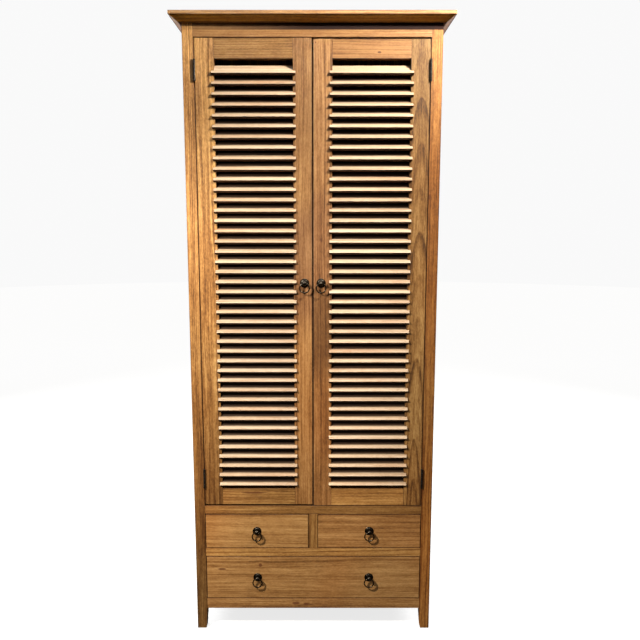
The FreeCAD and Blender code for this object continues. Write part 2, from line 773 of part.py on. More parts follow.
def knob_profile():
    """Radius and height of each corner of a pull: the rosette, its neck and the ball."""
    profile = [
        ("rosette_radius", "0"),
        ("rosette_radius", "rosette_rim"),
        ("shoulder_radius", "shoulder_height"),
        ("neck_radius", "dome_height"),
    ]
    for turn in BALL_BANDS:
        profile.append((f"knob_radius * sin({turn}deg)", f"knob_reach - knob_radius * cos({turn}deg)"))
    return profile


def build_flare(name):
    """The hole that the ring hangs in, flared to both mouths to clear the curve of its wire."""
    waist = "wire_radius + ring_play"
    mouth = f"{waist} + ring_radius - sqrt(ring_radius ^ 2 - knob_radius ^ 2)"
    profile = (
        (mouth, "-knob_radius - ring_play"),
        (mouth, "-knob_radius"),
        (waist, "0"),
        (mouth, "knob_radius"),
        (mouth, "knob_radius + ring_play"),
    )
    flare = flat_turning(name, profile, "knob_radius", BARREL_FLATS)
    flare.Placement.Rotation = ACROSS
    place(flare, ("0", "-knob_reach", "0"))
    return flare


def into_wood(name, flats, radius, start, length):
    """A small prism whose axis runs into the wood."""
    prism = doc.addObject("Part::Prism", name)
    prism.Polygon = flats
    bind(prism, "Circumradius", radius)
    bind(prism, "Height", length)
    prism.Placement.Rotation = INTO_WOOD
    place(prism, ("0", start, "0"))
    return prism


def build_pull(name, at, wood):
    """A domed rosette with a ball, drawn up by a nut on its stud behind the wood."""
    knob = flat_turning(name + "_knob", knob_profile(), "rosette_radius", KNOB_FLATS)
    knob.Placement.Rotation = OUT_OF_WOOD
    stud_length = f"rosette_rim + {wood} + nut_height + stud_end"
    whole = doc.addObject("Part::Fuse", name + "_whole")
    whole.Base = knob
    whole.Tool = into_wood(name + "_stud", BARREL_FLATS, "stud_radius", "-rosette_rim", stud_length)
    bored = cut_from(name + "_bored", whole, build_flare(name + "_flare"))
    hexagon = into_wood(name + "_hexagon", HEXAGON, "nut_radius", wood, "nut_height")
    thread = into_wood(name + "_thread", BARREL_FLATS, "stud_radius", wood, "nut_height")
    nut = cut_from(name + "_nut", hexagon, thread)
    pull = group(name, [bored, nut])
    place(pull, at)
    return pull


def hoop_prism(name, radius):
    """A flat many-sided disc as thick as the ring's wire."""
    disc = doc.addObject("Part::Prism", name)
    bind(disc, "Polygon", "ring_flats")
    bind(disc, "Circumradius", radius)
    bind(disc, "Height", "2 * wire_radius")
    return disc


def build_ring(name, at):
    """The ring hanging from the ball: an eight-sided wire bent round in short flats."""
    outer = hoop_prism(name + "_outer", "ring_radius + wire_radius")
    hoop = cut_from(name + "_hoop", outer, hoop_prism(name + "_inner", "ring_radius - wire_radius"))
    doc.recompute()
    ring = doc.addObject("Part::Chamfer", name)
    ring.Base = hoop
    slope = value("wire_radius * (2 - sqrt(2))")
    rims = []
    for number, edge in enumerate(hoop.Shape.Edges, start=1):
        if edge.BoundBox.ZLength < slope:
            rims.append((number, slope, slope))
    ring.Edges = rims
    ring.Placement.Rotation = OUT_OF_WOOD
    place(ring, (at[0], f"{at[1]} - knob_reach + wire_radius", f"{at[2]} - ring_radius"))
    return ring


# Doors


def slat_section(sketch, height):
    """A slat's section, seen from the door's side: a sloped board, its front edge proud of the face."""
    front = "-slat_proud"
    back = f"{front} + slat_run"
    top = f"{height} + slat_rise"
    set_down = "slat_thickness * cos(slat_angle * 1deg)"
    corners = (
        (front, height),
        (f"{front} + slat_slant", f"{height} - {set_down}"),
        (f"{back} + slat_slant", f"{top} - {set_down}"),
        (back, top),
    )
    outline(sketch, corners)


def cut_slat_housings(stile, face_x, along, lowest):
    """The row of slanted housings in a stile's inner edge, open at the door's face."""
    sketch = sketch_on(stile, "YZ_Plane", face_x)
    slat_section(sketch, lowest)
    housing = pocket(stile, sketch, "housing_depth", along)
    repeat_up(stile, housing, "slat_pitch", "slat_count")


def cut_door_mortise(stile, at_x, base, height):
    """A stile's mortise for one door rail's tenon."""
    at = (at_x, "(door_thickness - door_tenon_thickness) / 2", f"{base} + door_tenon_shoulder")
    cut_block(stile, at, ("door_tenon", "door_tenon_thickness", f"{height} - 2 * door_tenon_shoulder"))


def build_stile(name, x, foot, tall, mortise_x, rails):
    """A door stile with its rail mortises."""
    stile = board(name, (x, "front_y", foot), ("stile_width", "door_thickness", tall))
    for base, height in rails:
        cut_door_mortise(stile, mortise_x, base, height)
    return stile


def build_door_rail(name, base, height):
    """A door's cross rail with a tenon at each end."""
    corner = ("-inner_x + side_gap + stile_width", "front_y", base)
    rail = board(name, corner, ("opening_width", "door_thickness", height))
    at = ("-door_tenon", "(door_thickness - door_tenon_thickness) / 2", "door_tenon_shoulder")
    size = ("opening_width + 2 * door_tenon", "door_tenon_thickness", f"{height} - 2 * door_tenon_shoulder")
    grow_block(rail, at, size)
    return rail


def build_louvres(name):
    """The row of slats, each seated at both ends in the stiles' housings."""
    end_x = "-inner_x + side_gap + stile_width - housing_depth + slat_play"
    louvres = new_body(name, (end_x, "front_y", "opening_z"))
    section = sketch_on(louvres, "YZ_Plane")
    slat_section(section, "slat_start")
    slat = pad(louvres, section, "opening_width + 2 * (housing_depth - slat_play)")
    repeat_up(louvres, slat, "slat_pitch", "slat_count")
    return louvres


def build_door(side):
    """One door, drawn at the left; the right door is the mirror image of its own pieces."""
    foot = f"sill_z + {side}_door_sill_gap"
    top = f"head_z - {side}_door_head_gap"
    tall = f"({top} - ({foot}))"
    bottom_height = f"(opening_z - ({foot}))"
    top_base = "opening_z + opening_height"
    top_height = f"({top} - ({top_base}))"
    rails = (("0", bottom_height), (f"({top_base} - ({foot}))", top_height))
    lowest = f"(opening_z - ({foot})) + slat_start"
    edge = "-inner_x + side_gap"
    hinge_stile = build_stile(f"{side}_hinge_blank", edge, foot, tall, "stile_width - door_tenon", rails)
    for hinge in ("upper_hinge_z", "lower_hinge_z"):
        cut_hinge_recess(hinge_stile, "0", "-side_gap / 2", f"{hinge} - ({foot})")
    cut_slat_housings(hinge_stile, "stile_width", False, lowest)
    meeting_x = "-meeting_gap / 2 - stile_width"
    meeting_stile = build_stile(f"{side}_meeting_blank", meeting_x, foot, tall, "0", rails)
    stud_at = ("stile_width - pull_inset", f"pull_z - ({foot})")
    bore_through(meeting_stile, stud_at, "stud_radius + stud_play", "door_thickness")
    cut_slat_housings(meeting_stile, "0", True, lowest)
    leaves = []
    for level in ("upper", "lower"):
        leaf_name = f"{side}_{level}_leaf"
        running_bore = "pin_radius + pin_play"
        leaf = build_leaf(leaf_name, f"{level}_hinge_z", "side_gap / 2", DOOR_LEAF_GAPS, running_bore)
        leaves.append(leaf)
    pull_at = ("-meeting_gap / 2 - pull_inset", "front_y", "pull_z")
    pieces = {
        "hinge_stile": hinge_stile,
        "meeting_stile": meeting_stile,
        "top_rail": build_door_rail(f"{side}_top_blank", top_base, top_height),
        "bottom_rail": build_door_rail(f"{side}_bottom_blank", foot, bottom_height),
        "louvres": build_louvres(f"{side}_louvre_row"),
        "hinge_leaves": group(f"{side}_leaf_pair", leaves),
        "pull": build_pull(f"{side}_door_knob", pull_at, "door_thickness"),
        "ring": build_ring(f"{side}_door_hoop", pull_at),
    }
    for name, piece in pieces.items():
        full_name = f"{side}_door_{name}"
        keep(piece if side == "left" else mirrored(piece, full_name), full_name)


# Drawers


def build_drawer_front(name, x, base, wide, tall, studs):
    """A drawer front with housings for the sides and a groove for the bottom."""
    at = (f"{x} + drawer_gap", "front_y", f"{base} + drawer_gap")
    width = f"{wide} - 2 * drawer_gap"
    height = f"{tall} - drawer_gap - drawer_head_gap"
    front = board(name, at, (width, "drawer_front_thickness", height))
    inner_face = "drawer_front_thickness - drawer_dado"
    side_top = f"{tall} - drawer_side_clear + drawer_lift - drawer_gap"
    far_side = f"{width} - drawer_side_inset - drawer_side_thickness"
    for side_x in ("drawer_side_inset", far_side):
        cut_block(front, (side_x, inner_face, "0"), ("drawer_side_thickness", "drawer_dado", side_top))
    groove_z = "drawer_lift + drawer_bottom_rise - drawer_gap"
    groove = ("drawer_side_inset + drawer_side_thickness", inner_face, groove_z)
    span = f"{width} - 2 * (drawer_side_inset + drawer_side_thickness)"
    cut_block(front, groove, (span, "drawer_dado", "drawer_bottom_thickness"))
    for stud_x in studs:
        stud_at = (f"{stud_x} - drawer_gap", f"{tall} / 2 - drawer_gap")
        bore_through(front, stud_at, "stud_radius + stud_play", "drawer_front_thickness")
    return front


def build_drawer_side(name, x, base, tall):
    """A drawer side, grooved for the bottom and housed for the back."""
    end_y = "front_y + drawer_front_thickness - drawer_dado"
    at = (f"{x} + drawer_gap + drawer_side_inset", end_y, f"{base} + drawer_lift")
    length = "drawer_length - drawer_front_thickness + drawer_dado"
    height = f"{tall} - drawer_side_clear"
    side = board(name, at, ("drawer_side_thickness", length, height))
    groove = ("drawer_side_thickness - drawer_back_dado", "0", "drawer_bottom_rise")
    cut_block(side, groove, ("drawer_back_dado", length, "drawer_bottom_thickness"))
    foot = "drawer_bottom_rise + drawer_bottom_thickness"
    housing = (groove[0], f"{length} - drawer_back_inset - drawer_side_thickness", foot)
    rise = f"{height} - ({foot})"
    cut_block(side, housing, ("drawer_back_dado", "drawer_side_thickness", rise))
    return side


def build_drawer_back(name, x, base, wide, tall):
    """A drawer back that stands on the bottom, between the sides."""
    reach = "drawer_gap + drawer_side_inset + drawer_side_thickness - drawer_back_dado"
    foot = "drawer_bottom_rise + drawer_bottom_thickness"
    at = (f"{x} + {reach}", "front_y + drawer_length - drawer_back_inset - drawer_side_thickness",
          f"{base} + drawer_lift + {foot}")
    height = f"{tall} - drawer_side_clear - ({foot}) - drawer_back_drop"
    return board(name, at, (f"{wide} - 2 * ({reach})", "drawer_side_thickness", height))


def build_drawer_bottom(name, x, base, wide):
    """A drawer bottom in the grooves of the sides and the front."""
    reach = "drawer_gap + drawer_side_inset + drawer_side_thickness - drawer_back_dado + panel_play"
    at = (f"{x} + {reach}", "front_y + drawer_front_thickness - drawer_dado + panel_play",
          f"{base} + drawer_lift + drawer_bottom_rise")
    length = "drawer_length - drawer_front_thickness + drawer_dado - panel_play"
    return board(name, at, (f"{wide} - 2 * ({reach})", length, "drawer_bottom_thickness"))


def build_drawer_pieces(label, x, base, wide, tall, studs):
    """The wooden pieces of one drawer, by their names."""
    side = build_drawer_side(f"{label}_side_blank", x, base, tall)
    other = mirrored(side, f"{label}_side_other", f"{x} + {wide} / 2")
    return {
        "front": build_drawer_front(f"{label}_front_blank", x, base, wide, tall, studs),
        "sides": group(f"{label}_side_pair", [side, other]),
        "back": build_drawer_back(f"{label}_back_blank", x, base, wide, tall),
        "bottom": build_drawer_bottom(f"{label}_bottom_blank", x, base, wide),
    }


def build_small_drawers():
    """The left small drawer and its mirror image."""
    x = "-inner_x"
    studs = ("small_width / 2",)
    pieces = build_drawer_pieces("small", x, "small_base", "small_width", "small_opening", studs)
    at = (f"{x} + small_width / 2", "front_y", "small_base + small_opening / 2")
    pieces["pull"] = build_pull("small_knob", at, "drawer_front_thickness")
    pieces["ring"] = build_ring("small_hoop", at)
    for name, piece in pieces.items():
        keep(piece, f"left_drawer_{name}")
        keep(mirrored(piece, f"right_drawer_{name}"), f"right_drawer_{name}")


def build_large_drawer():
    """The wide drawer with two pulls, in line with those above it."""
    x = "-inner_x"
    wide = "(2 * inner_x)"
    studs = ("small_width / 2", f"{wide} - small_width / 2")
    pieces = build_drawer_pieces("large", x, "large_base", wide, "large_opening", studs)
    at = (f"{x} + small_width / 2", "front_y", "large_base + large_opening / 2")
    pull = build_pull("large_knob", at, "drawer_front_thickness")
    pieces["pulls"] = group("large_pull_pair", [pull, mirrored(pull, "large_knob_other")])
    for name, piece in pieces.items():
        keep(piece, f"large_drawer_{name}")
    ring = keep(build_ring("large_hoop", at), "large_drawer_left_ring")
    keep(mirrored(ring, "large_hoop_other"), "large_drawer_right_ring")


# Checks and export


def check_objects():
    """Stop if anything failed to build, or if a pocket cut nothing."""
    for item in doc.Objects:
        if "Invalid" in item.State or "Error" in item.State:
            raise RuntimeError(f"{item.Name} failed: {item.State}")
        if item.isDerivedFrom("PartDesign::Pocket") and item.Shape.Volume >= item.BaseFeature.Shape.Volume:
            raise RuntimeError(f"{item.Name} cuts nothing")
    for node in nodes:
        if node.Shape.isNull() or not node.Shape.isValid() or not node.Shape.Solids:
            raise RuntimeError(f"{node.Label} has no valid solid")


def export_nodes():
    """Write every sub-part to a file of its own."""
    os.makedirs(PARTS_FOLDER, exist_ok=True)
    for node in nodes:
        node.Shape.exportStep(os.path.join(PARTS_FOLDER, node.Label + ".step"))
    print(f"{len(nodes)} nodes, {sum(len(node.Shape.Solids) for node in nodes)} solids")


fill_sheet()
build_carcass_frame()
build_cornice()
build_inside()
build_frame_leaves()
build_door("left")
build_door("right")
build_small_drawers()
build_large_drawer()
doc.recompute()
check_objects()
export_nodes()
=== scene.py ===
"""Louvred cabinet: oiled teak finishes, turned ring pulls, butt hinges and a plain studio."""

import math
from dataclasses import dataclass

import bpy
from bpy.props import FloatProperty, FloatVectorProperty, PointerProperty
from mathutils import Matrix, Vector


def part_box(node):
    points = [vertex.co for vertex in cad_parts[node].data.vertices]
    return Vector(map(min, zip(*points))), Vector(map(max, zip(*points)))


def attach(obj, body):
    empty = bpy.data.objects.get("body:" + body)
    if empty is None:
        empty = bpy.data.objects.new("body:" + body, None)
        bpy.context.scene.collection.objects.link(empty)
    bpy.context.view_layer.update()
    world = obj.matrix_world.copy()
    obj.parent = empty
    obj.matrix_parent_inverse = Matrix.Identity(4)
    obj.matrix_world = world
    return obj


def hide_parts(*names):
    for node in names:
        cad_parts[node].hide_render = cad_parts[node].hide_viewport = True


bl_info = {
    "name": "Louvred Cabinet",
    "version": (1, 0, 0),
    "blender": (4, 5, 0),
    "location": "3D View > Sidebar > Cabinet",
    "description": "Finishes a louvred teak cabinet and adds its bronze pulls, hinges and studio",
    "category": "Object",
}

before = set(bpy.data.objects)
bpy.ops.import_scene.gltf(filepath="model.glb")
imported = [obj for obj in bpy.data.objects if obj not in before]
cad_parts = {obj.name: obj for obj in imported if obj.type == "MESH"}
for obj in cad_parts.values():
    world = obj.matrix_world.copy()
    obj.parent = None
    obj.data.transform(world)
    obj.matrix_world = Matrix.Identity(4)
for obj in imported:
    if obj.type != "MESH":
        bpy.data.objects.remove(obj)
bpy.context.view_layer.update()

DRAWERS = ("left_drawer", "right_drawer", "large_drawer")
DOORS = ("left_door", "right_door")
METALWORK = ("pull", "pulls", "ring", "hinge_leaves")

# The front of the posts, which the doors and drawers lie flush with, and the gap between the doors
FACE_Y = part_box("left_front_post")[0].y
MEETING_X = (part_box("left_door_meeting_stile")[1].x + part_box("right_door_meeting_stile")[0].x) / 2

# A louvre's pitch and where the rows of slats are counted from, both measured on z - y
SLAT_PITCH = 0.0315
SLAT_FOOT = 0.7

# Materials


class Value:
    """A shader socket. An expression on values adds the Math nodes that it needs."""

    def __init__(self, shader, socket):
        self.shader = shader
        self.socket = socket

    def __add__(self, other):
        return self.shader.math("ADD", self, other)

    def __sub__(self, other):
        return self.shader.math("SUBTRACT", self, other)

    def __rsub__(self, other):
        return self.shader.math("SUBTRACT", other, self)

    def __mul__(self, other):
        return self.shader.math("MULTIPLY", self, other)

    def __truediv__(self, other):
        return self.shader.math("DIVIDE", self, other)

    def __rtruediv__(self, other):
        return self.shader.math("DIVIDE", other, self)

    def __pow__(self, other):
        return self.shader.math("POWER", self, other)

    def __abs__(self):
        return self.shader.math("ABSOLUTE", self)

    def __floor__(self):
        return self.shader.math("FLOOR", self)

    __radd__ = __add__
    __rmul__ = __mul__


class Shader:
    """The node tree of one material or of the world, and the ways to add to it."""

    def __init__(self, owner):
        owner.use_nodes = True
        self.tree = owner.node_tree

    def add(self, kind, settings=None, inputs=None, output=0):
        """Adds a node, sets it up, feeds its sockets and gives one output, or several."""
        node = self.tree.nodes.new(kind)
        for key, setting in (settings or {}).items():
            if key == "stops":
                set_stops(node.color_ramp, setting)
            else:
                setattr(node, key, setting)
        for key, source in (inputs or {}).items():
            self.feed(node.inputs[key], source)
        if isinstance(output, tuple):
            return [Value(self, node.outputs[item]) for item in output]
        return Value(self, node.outputs[output])

    def feed(self, socket, source):
        if isinstance(source, Value):
            self.tree.links.new(source.socket, socket)
        else:
            socket.default_value = source

    def math(self, operation, *numbers):
        return self.add("ShaderNodeMath", {"operation": operation}, dict(enumerate(numbers)))

    def join(self, *parts):
        return self.add("ShaderNodeCombineXYZ", None, dict(enumerate(parts)))

    def split(self, vector):
        return self.add("ShaderNodeSeparateXYZ", None, {0: vector}, output=(0, 1, 2))

    def place(self):
        return self.add("ShaderNodeTexCoord", output="Object")

    def noise(self, place, scale=1.0, detail=2.0, roughness=0.5):
        inputs = {"Vector": place, "Scale": scale, "Detail": detail, "Roughness": roughness}
        return self.add("ShaderNodeTexNoise", None, inputs)

    def chance(self, number):
        """A number from 0 to 1 by chance, the same for the same number."""
        return self.add("ShaderNodeTexWhiteNoise", {"noise_dimensions": "1D"}, {"W": number})

    def step(self, number, low, high):
        """0 below low, 1 above high and smooth between them; low may be the larger."""
        inputs = {"Value": number, "From Min": low, "From Max": high}
        return self.add("ShaderNodeMapRange", {"interpolation_type": "SMOOTHSTEP"}, inputs)

    def mix(self, factor, first, second, how="MIX"):
        """Mixes two colours."""
        settings = {"data_type": "RGBA", "blend_type": how}
        return self.add("ShaderNodeMix", settings, {0: factor, 6: first, 7: second}, output=2)

    def stain(self, factor, colour, cast):
        """Multiplies a colour by a cast where the factor is 1."""
        return self.mix(factor, colour, opaque(cast), "MULTIPLY")

    def ramp(self, factor, stops):
        return self.add("ShaderNodeValToRGB", {"stops": stops}, {"Fac": factor})

    def bump(self, height, strength, distance):
        inputs = {"Strength": strength, "Distance": distance, "Height": height}
        return self.add("ShaderNodeBump", None, inputs)


def set_stops(ramp, stops):
    """Gives a colour ramp its stops, each a place and a colour."""
    while len(ramp.elements) < len(stops):
        ramp.elements.new(1.0)
    for element, (place, colour) in zip(ramp.elements, stops):
        element.position = place
        element.color = opaque(colour)


def new_finish(name):
    """A material, its shader and its surface node."""
    material = bpy.data.materials.new(name)
    shader = Shader(material)
    return material, shader, shader.tree.nodes["Principled BSDF"]


def dress(piece, material):
    """Gives a piece one material all over."""
    piece.data.materials.clear()
    piece.data.materials.append(material)


def opaque(colour):
    return (*colour, 1.0)


@dataclass
class Board:
    """How one board was sawn, how it has aged, and the light and shade painted on it."""

    # The grain's axis, the stretch of wood that it was cut from, and how pale and how red it is
    grain: str = "Z"
    seed: float = 0.0
    tone: float = 0.0
    red: float = 0.0
    # Painted light and shade: how much lighter or darker it is painted at the floor, half way up and at the
    # top
    low: float = 1.0
    middle: float = 1.0
    high: float = 1.0
    # The width of its rings, the pith's place beside and behind it, and how far it leans to the pith
    rings: float = 0.007
    pith: tuple = (0.14, 0.06)
    lean: float = 0.0
    # How strong its figure is, its cast (its own hue, and on some boards painted light or shade), and its
    # knots, each by x, z, half width and half length
    figure: float = 1.0
    cast: tuple = (1.0, 1.0, 1.0)
    knots: tuple = ()
    # Whether the moulding's shadow is painted on its top, and the stretches painted darker: foot, head,
    # cast
    painted_shade: bool = False
    darker_stretches: tuple = ()


@dataclass
class Layer:
    """One layer of the wood's figure: waves to the metre along and across the grain, and its weight."""

    along: float
    across: float
    weight: float = 1.0
    detail: float = 2.0
    roughness: float = 0.5


# The axes along, across and through a board, by its grain
GRAIN_AXES = {"X": (0, 2, 1), "Y": (1, 2, 0), "Z": (2, 0, 1)}
# What bends the grain, what streaks it, and its finest marks
WANDER = (Layer(1.5, 7.0, 0.03, detail=1.0), Layer(8.0, 28.0, 0.003, detail=1.0))
STREAKS = (
    Layer(1.6, 26.0, 0.75),
    Layer(2.5, 130.0, 0.55, detail=1.0),
    Layer(7.0, 300.0, 0.9, roughness=0.6),
    Layer(35.0, 80.0, 0.4, roughness=0.6),
    Layer(130.0, 330.0, 0.45, detail=1.0),
)
FIBRES = Layer(16.0, 700.0, detail=1.0)
PORES = Layer(70.0, 2300.0, detail=0.0)
PORE_EDGE = (0.63, 0.74)
LATE_START, LATE_END = (0.45, 0.92), (1.0, 0.94)
KNOT_HEART = (1.3, 0.45)
KNOT_REACH, KNOT_PUSH = 0.3, 0.8
RUST_EDGE = (0.45, 0.85)
END_GRAIN_EDGE = (0.75, 0.92)

# How far apart along the wood two slats may be cut, and how much they differ in tone
SLAT_SPREAD = 9.0
SLAT_VARIETY = 0.22

# The heights between which a board goes from its low shade to its middle one, and on to its high
LOW_TO_MIDDLE = (0.2, 1.05)
MIDDLE_TO_HIGH = (0.95, 1.9)

# How deep each slat's top face is painted lit before the painted shadow of the slat above begins, at the
# floor and more for each metre of height, then how softly that painted shadow begins, on which faces, and
# where the topmost slat begins
SLAT_LIT_DEPTH = 0.0043
SLAT_LIT_DEPTH_RISE = 0.002
SLAT_SHADOW_FADE = (0.0, 0.006)
FRONT_FACES = (0.0, -0.4)
UNDERSIDES = (0.2, -0.4)
BELOW_TOPMOST = (-0.008, -0.012)

# Where grime begins and is thickest, measured from a board's edge, and the finer seam on the edge
GRIME_EDGE = (0.0035, 0.0)
SEAM_EDGE = (0.0016, 0.0006)

# Where the moulding's painted shadow begins in height and along the front, how gradually a darker stretch
# ends, and how far from the gap's middle the meeting stiles are painted dark as shade
MOULDING_SHADOW_RISE = (1.9219, 1.9259)
MOULDING_SHADOW_SPAN = (-0.55, 0.02)
STRETCH_FADE = 0.06
GAP_EDGE = (0.0027, 0.0019)


def layer_noise(shader, place, layer):
    """One layer's noise, from 0 to 1."""
    along, across, depth = place
    spot = shader.join(along * layer.along, across * layer.across, depth * layer.across)
    return shader.noise(spot, detail=layer.detail, roughness=layer.roughness)


def layered(shader, place, layers):
    """Several layers added up, each by its weight, to wander about 0."""
    return sum((layer_noise(shader, place, layer) - 0.5) * layer.weight for layer in layers)


def knot_field(shader, along, across, board):
    """How far the board's knots push the grain aside, and 1 at their hearts."""
    push = heart = 0.0
    for x, z, wide, long in board.knots:
        knot_along, knot_across = (x, z) if board.grain == "X" else (z, x)
        beside = across - knot_across
        far = (beside / wide) ** 2 + ((along - knot_along) / long) ** 2
        near = 1.0 / (far * KNOT_REACH + 1.0) ** 2
        push = push + beside * near * KNOT_PUSH
        heart = heart + shader.step(far, *KNOT_HEART)
    return push, heart


def late_wood(shader, side, sunk, board):
    """1 in the dark end of each year's ring round the pith, stronger in some years."""
    beside, behind = side - board.pith[0], sunk - board.pith[1]
    ring = (beside * beside + behind * behind) ** 0.5 / board.rings
    year = math.floor(ring)
    part = ring - year
    growth = shader.chance(year + board.seed)
    return shader.step(part, *LATE_START) * shader.step(part, *LATE_END) * (growth * 0.8 + 0.2)


def sawn_grain(shader, place, board):
    """The sawn figure: tone from 0 in dark grain to 1 in pale, fibres, pores and knots' hearts."""
    along, across, depth = (place[axis] for axis in GRAIN_AXES[board.grain])
    push, heart = knot_field(shader, along, across, board)
    cut = along + board.seed
    side = across - push + layered(shader, (cut, across, depth), WANDER)
    sunk = depth + along * board.lean
    spot = (cut, side, sunk)
    fibre = layer_noise(shader, spot, FIBRES)
    pores = shader.step(layer_noise(shader, spot, PORES), *PORE_EDGE)
    figure = layered(shader, spot, STREAKS) - late_wood(shader, side, sunk, board) * 0.36
    tone = 0.6 + board.tone + figure * board.figure + (fibre - 0.5) * 0.3 - pores * 0.12
    return tone, fibre, pores, heart


def teak(name, board, colours, corners, slats=False):
    """Oiled teak: ring figure, streaks, pores, knots, marks of age, darker end grain, and painted light and
    shade.
    """
    material, shader, surface = new_finish(name)
    place, normal = shader.add("ShaderNodeTexCoord", output=("Object", "Normal"))
    x, y, z = shader.split(place)
    facing = shader.split(normal)
    blotch = shader.noise(place, scale=3.1, detail=2.0)
    shade = 0.0
    if slats:
        turn = shader.chance(math.floor((z - y - SLAT_FOOT) / SLAT_PITCH) + board.seed)
        x = x + turn * SLAT_SPREAD
        shade = (turn - 0.5) * SLAT_VARIETY
    tone, fibre, pores, heart = sawn_grain(shader, (x, y, z), board)
    stops = [(0.0, colours.dark), (0.34, colours.umber), (0.62, colours.honey), (1.0, colours.straw)]
    colour = shader.ramp(tone + shade + (blotch - 0.5) * 0.35, stops)
    rust = shader.noise(shader.join(x * 2.0, y * 5.0, z * 1.2), scale=1.7, detail=1.0)
    colour = shader.stain(shader.step(rust + board.red, *RUST_EDGE), colour, colours.rust)
    colour = shader.mix(heart * 0.85, colour, opaque(colours.knot))
    # Painted light and shade by height, times the board's cast
    colour = shader.mix(1.0, colour, height_shade(shader, z, board), "MULTIPLY")
    # Painted shade: on slats the undersides and the shadow behind their lit fronts, on boards under the
    # moulding and at the gap
    if slats:
        colour, dark = paint_slat_shade(shader, colour, (y, z), facing, blotch, colours, corners)
    else:
        colour, dark = grime_and_shade_board(shader, colour, (x, y, z), board, colours, corners)
    ends = shader.step(abs(facing[GRAIN_AXES[board.grain][0]]), *END_GRAIN_EDGE)
    shader.feed(surface.inputs["Base Color"], shader.stain(ends, colour, colours.end_grain))
    roughness = 0.47 + (fibre - 0.5) * 0.16 + pores * 0.15 + (blotch - 0.5) * 0.14 + dark * 0.45
    shader.feed(surface.inputs["Roughness"], roughness)
    shader.feed(surface.inputs["Normal"], shader.bump(fibre * 0.5 - pores, 0.55, 0.0004))
    surface.inputs["Specular IOR Level"].default_value = 0.42
    return material


def height_shade(shader, z, board):
    """Painted light and shade by height: how much lighter or darker a board is painted at the floor, half
    way up and at the top.
    """
    lower = shader.step(z, *LOW_TO_MIDDLE) * (board.middle - board.low)
    upper = shader.step(z, *MIDDLE_TO_HIGH) * (board.high - board.middle)
    light = lower + upper + board.low
    return shader.join(*(light * part for part in board.cast))


def paint_slat_shade(shader, colour, place, facing, blotch, colours, corners):
    """Paints shade on the slats' undersides, and the shadow of the slat above behind the lit front of each
    slat's top face.
    """
    y, z = place
    low, high = corners
    # Painted shade on the slats' down-facing faces
    colour = shader.stain(shader.step(facing[2], *UNDERSIDES), colour, colours.painted_underside_shade)
    # Painted shadow of the slat above: dark behind the painted-lit front of each slat's top face
    reach = z * SLAT_LIT_DEPTH_RISE + SLAT_LIT_DEPTH + (blotch - 0.5) * 0.002
    behind = shader.step(y - low.y - reach, *SLAT_SHADOW_FADE) * shader.step(facing[1], *FRONT_FACES)
    # The topmost slat has no slat above to cast the painted shadow, so it is pale to its back edge
    dark = behind * shader.step(z - y - (high.z - high.y), *BELOW_TOPMOST)
    return shader.stain(dark, colour, colours.painted_slat_shadow), dark


def grime_and_shade_board(shader, colour, place, board, colours, corners):
    """Gives a board its darker stretches and its grime, and paints shade under the moulding or along the
    gap.
    """
    x, _, z = place
    # Stretches painted darker, each between a foot and a head
    for foot, head, cast in board.darker_stretches:
        above = shader.step(z, foot - STRETCH_FADE, foot + STRETCH_FADE)
        below = shader.step(z, head + STRETCH_FADE, head - STRETCH_FADE)
        colour = shader.stain(above * below, colour, cast)
    colour = shader.stain(joint_grime(shader, place, board, corners), colour, colours.grime)
    dark = 0.0
    if board.painted_shade:
        # Painted shadow under the moulding, fading toward the left end, where more light fell
        dark = shader.step(z, *MOULDING_SHADOW_RISE) * shader.step(x, *MOULDING_SHADOW_SPAN)
    elif board.darker_stretches:
        # Painted shade along the gap between the doors, on the meeting stiles
        dark = shader.step(abs(x - MEETING_X), *GAP_EDGE)
    return shader.stain(dark, colour, colours.painted_shade), dark


def joint_grime(shader, place, board, corners):
    """1 at a board's long edges, where oil and dust gather, and 0 away from them."""
    axis = GRAIN_AXES[board.grain][1]
    across, (low, high) = place[axis], (corner[axis] for corner in corners)
    edge = shader.math("MINIMUM", across - low, high - across)
    patch = shader.noise(shader.join(*(part * 30.0 for part in place)), detail=2.0)
    patchy = shader.step(edge + (patch - 0.5) * 0.003, *GRIME_EDGE)
    return patchy * 0.5 + shader.step(edge, *SEAM_EDGE) * 0.5


def aged_bronze(name, colours):
    """Dark bronze, mottled, with random patches rubbed brighter."""
    material, shader, surface = new_finish(name)
    place = shader.place()
    mottle = shader.noise(place, scale=320.0, detail=3.0, roughness=0.6)
    speck = shader.noise(place, scale=1500.0, detail=1.0)
    rubbed = shader.step(mottle + (speck - 0.5) * 0.3, 0.52, 0.78)
    colour = shader.mix(rubbed * 0.16, opaque(colours.patina), opaque(colours.rubbed))
    shader.feed(surface.inputs["Base Color"], colour)
    surface.inputs["Metallic"].default_value = 1.0
    shader.feed(surface.inputs["Roughness"], 0.27 - rubbed * 0.06 + (speck - 0.5) * 0.1)
    shader.feed(surface.inputs["Normal"], shader.bump(mottle, 0.1, 0.0001))
    return material


def hinge_steel(name, colours):
    """Dull brown hinge steel with fine scratches along its height."""
    material, shader, surface = new_finish(name)
    place = shader.place()
    drawn = shader.add("ShaderNodeMapping", None, {0: place, "Scale": (900, 900, 40)})
    scratch = shader.noise(drawn, detail=2.0)
    stain = shader.noise(place, scale=120.0, detail=3.0)
    stained = [part / 2 for part in colours.steel]
    colour = shader.mix(shader.step(stain, 0.4, 0.7), opaque(stained), opaque(colours.steel))
    shader.feed(surface.inputs["Base Color"], colour)
    surface.inputs["Metallic"].default_value = 0.9
    shader.feed(surface.inputs["Roughness"], 0.4 + (scratch - 0.5) * 0.25)
    shader.feed(surface.inputs["Normal"], shader.bump(scratch, 0.2, 0.0001))
    return material


# Pieces


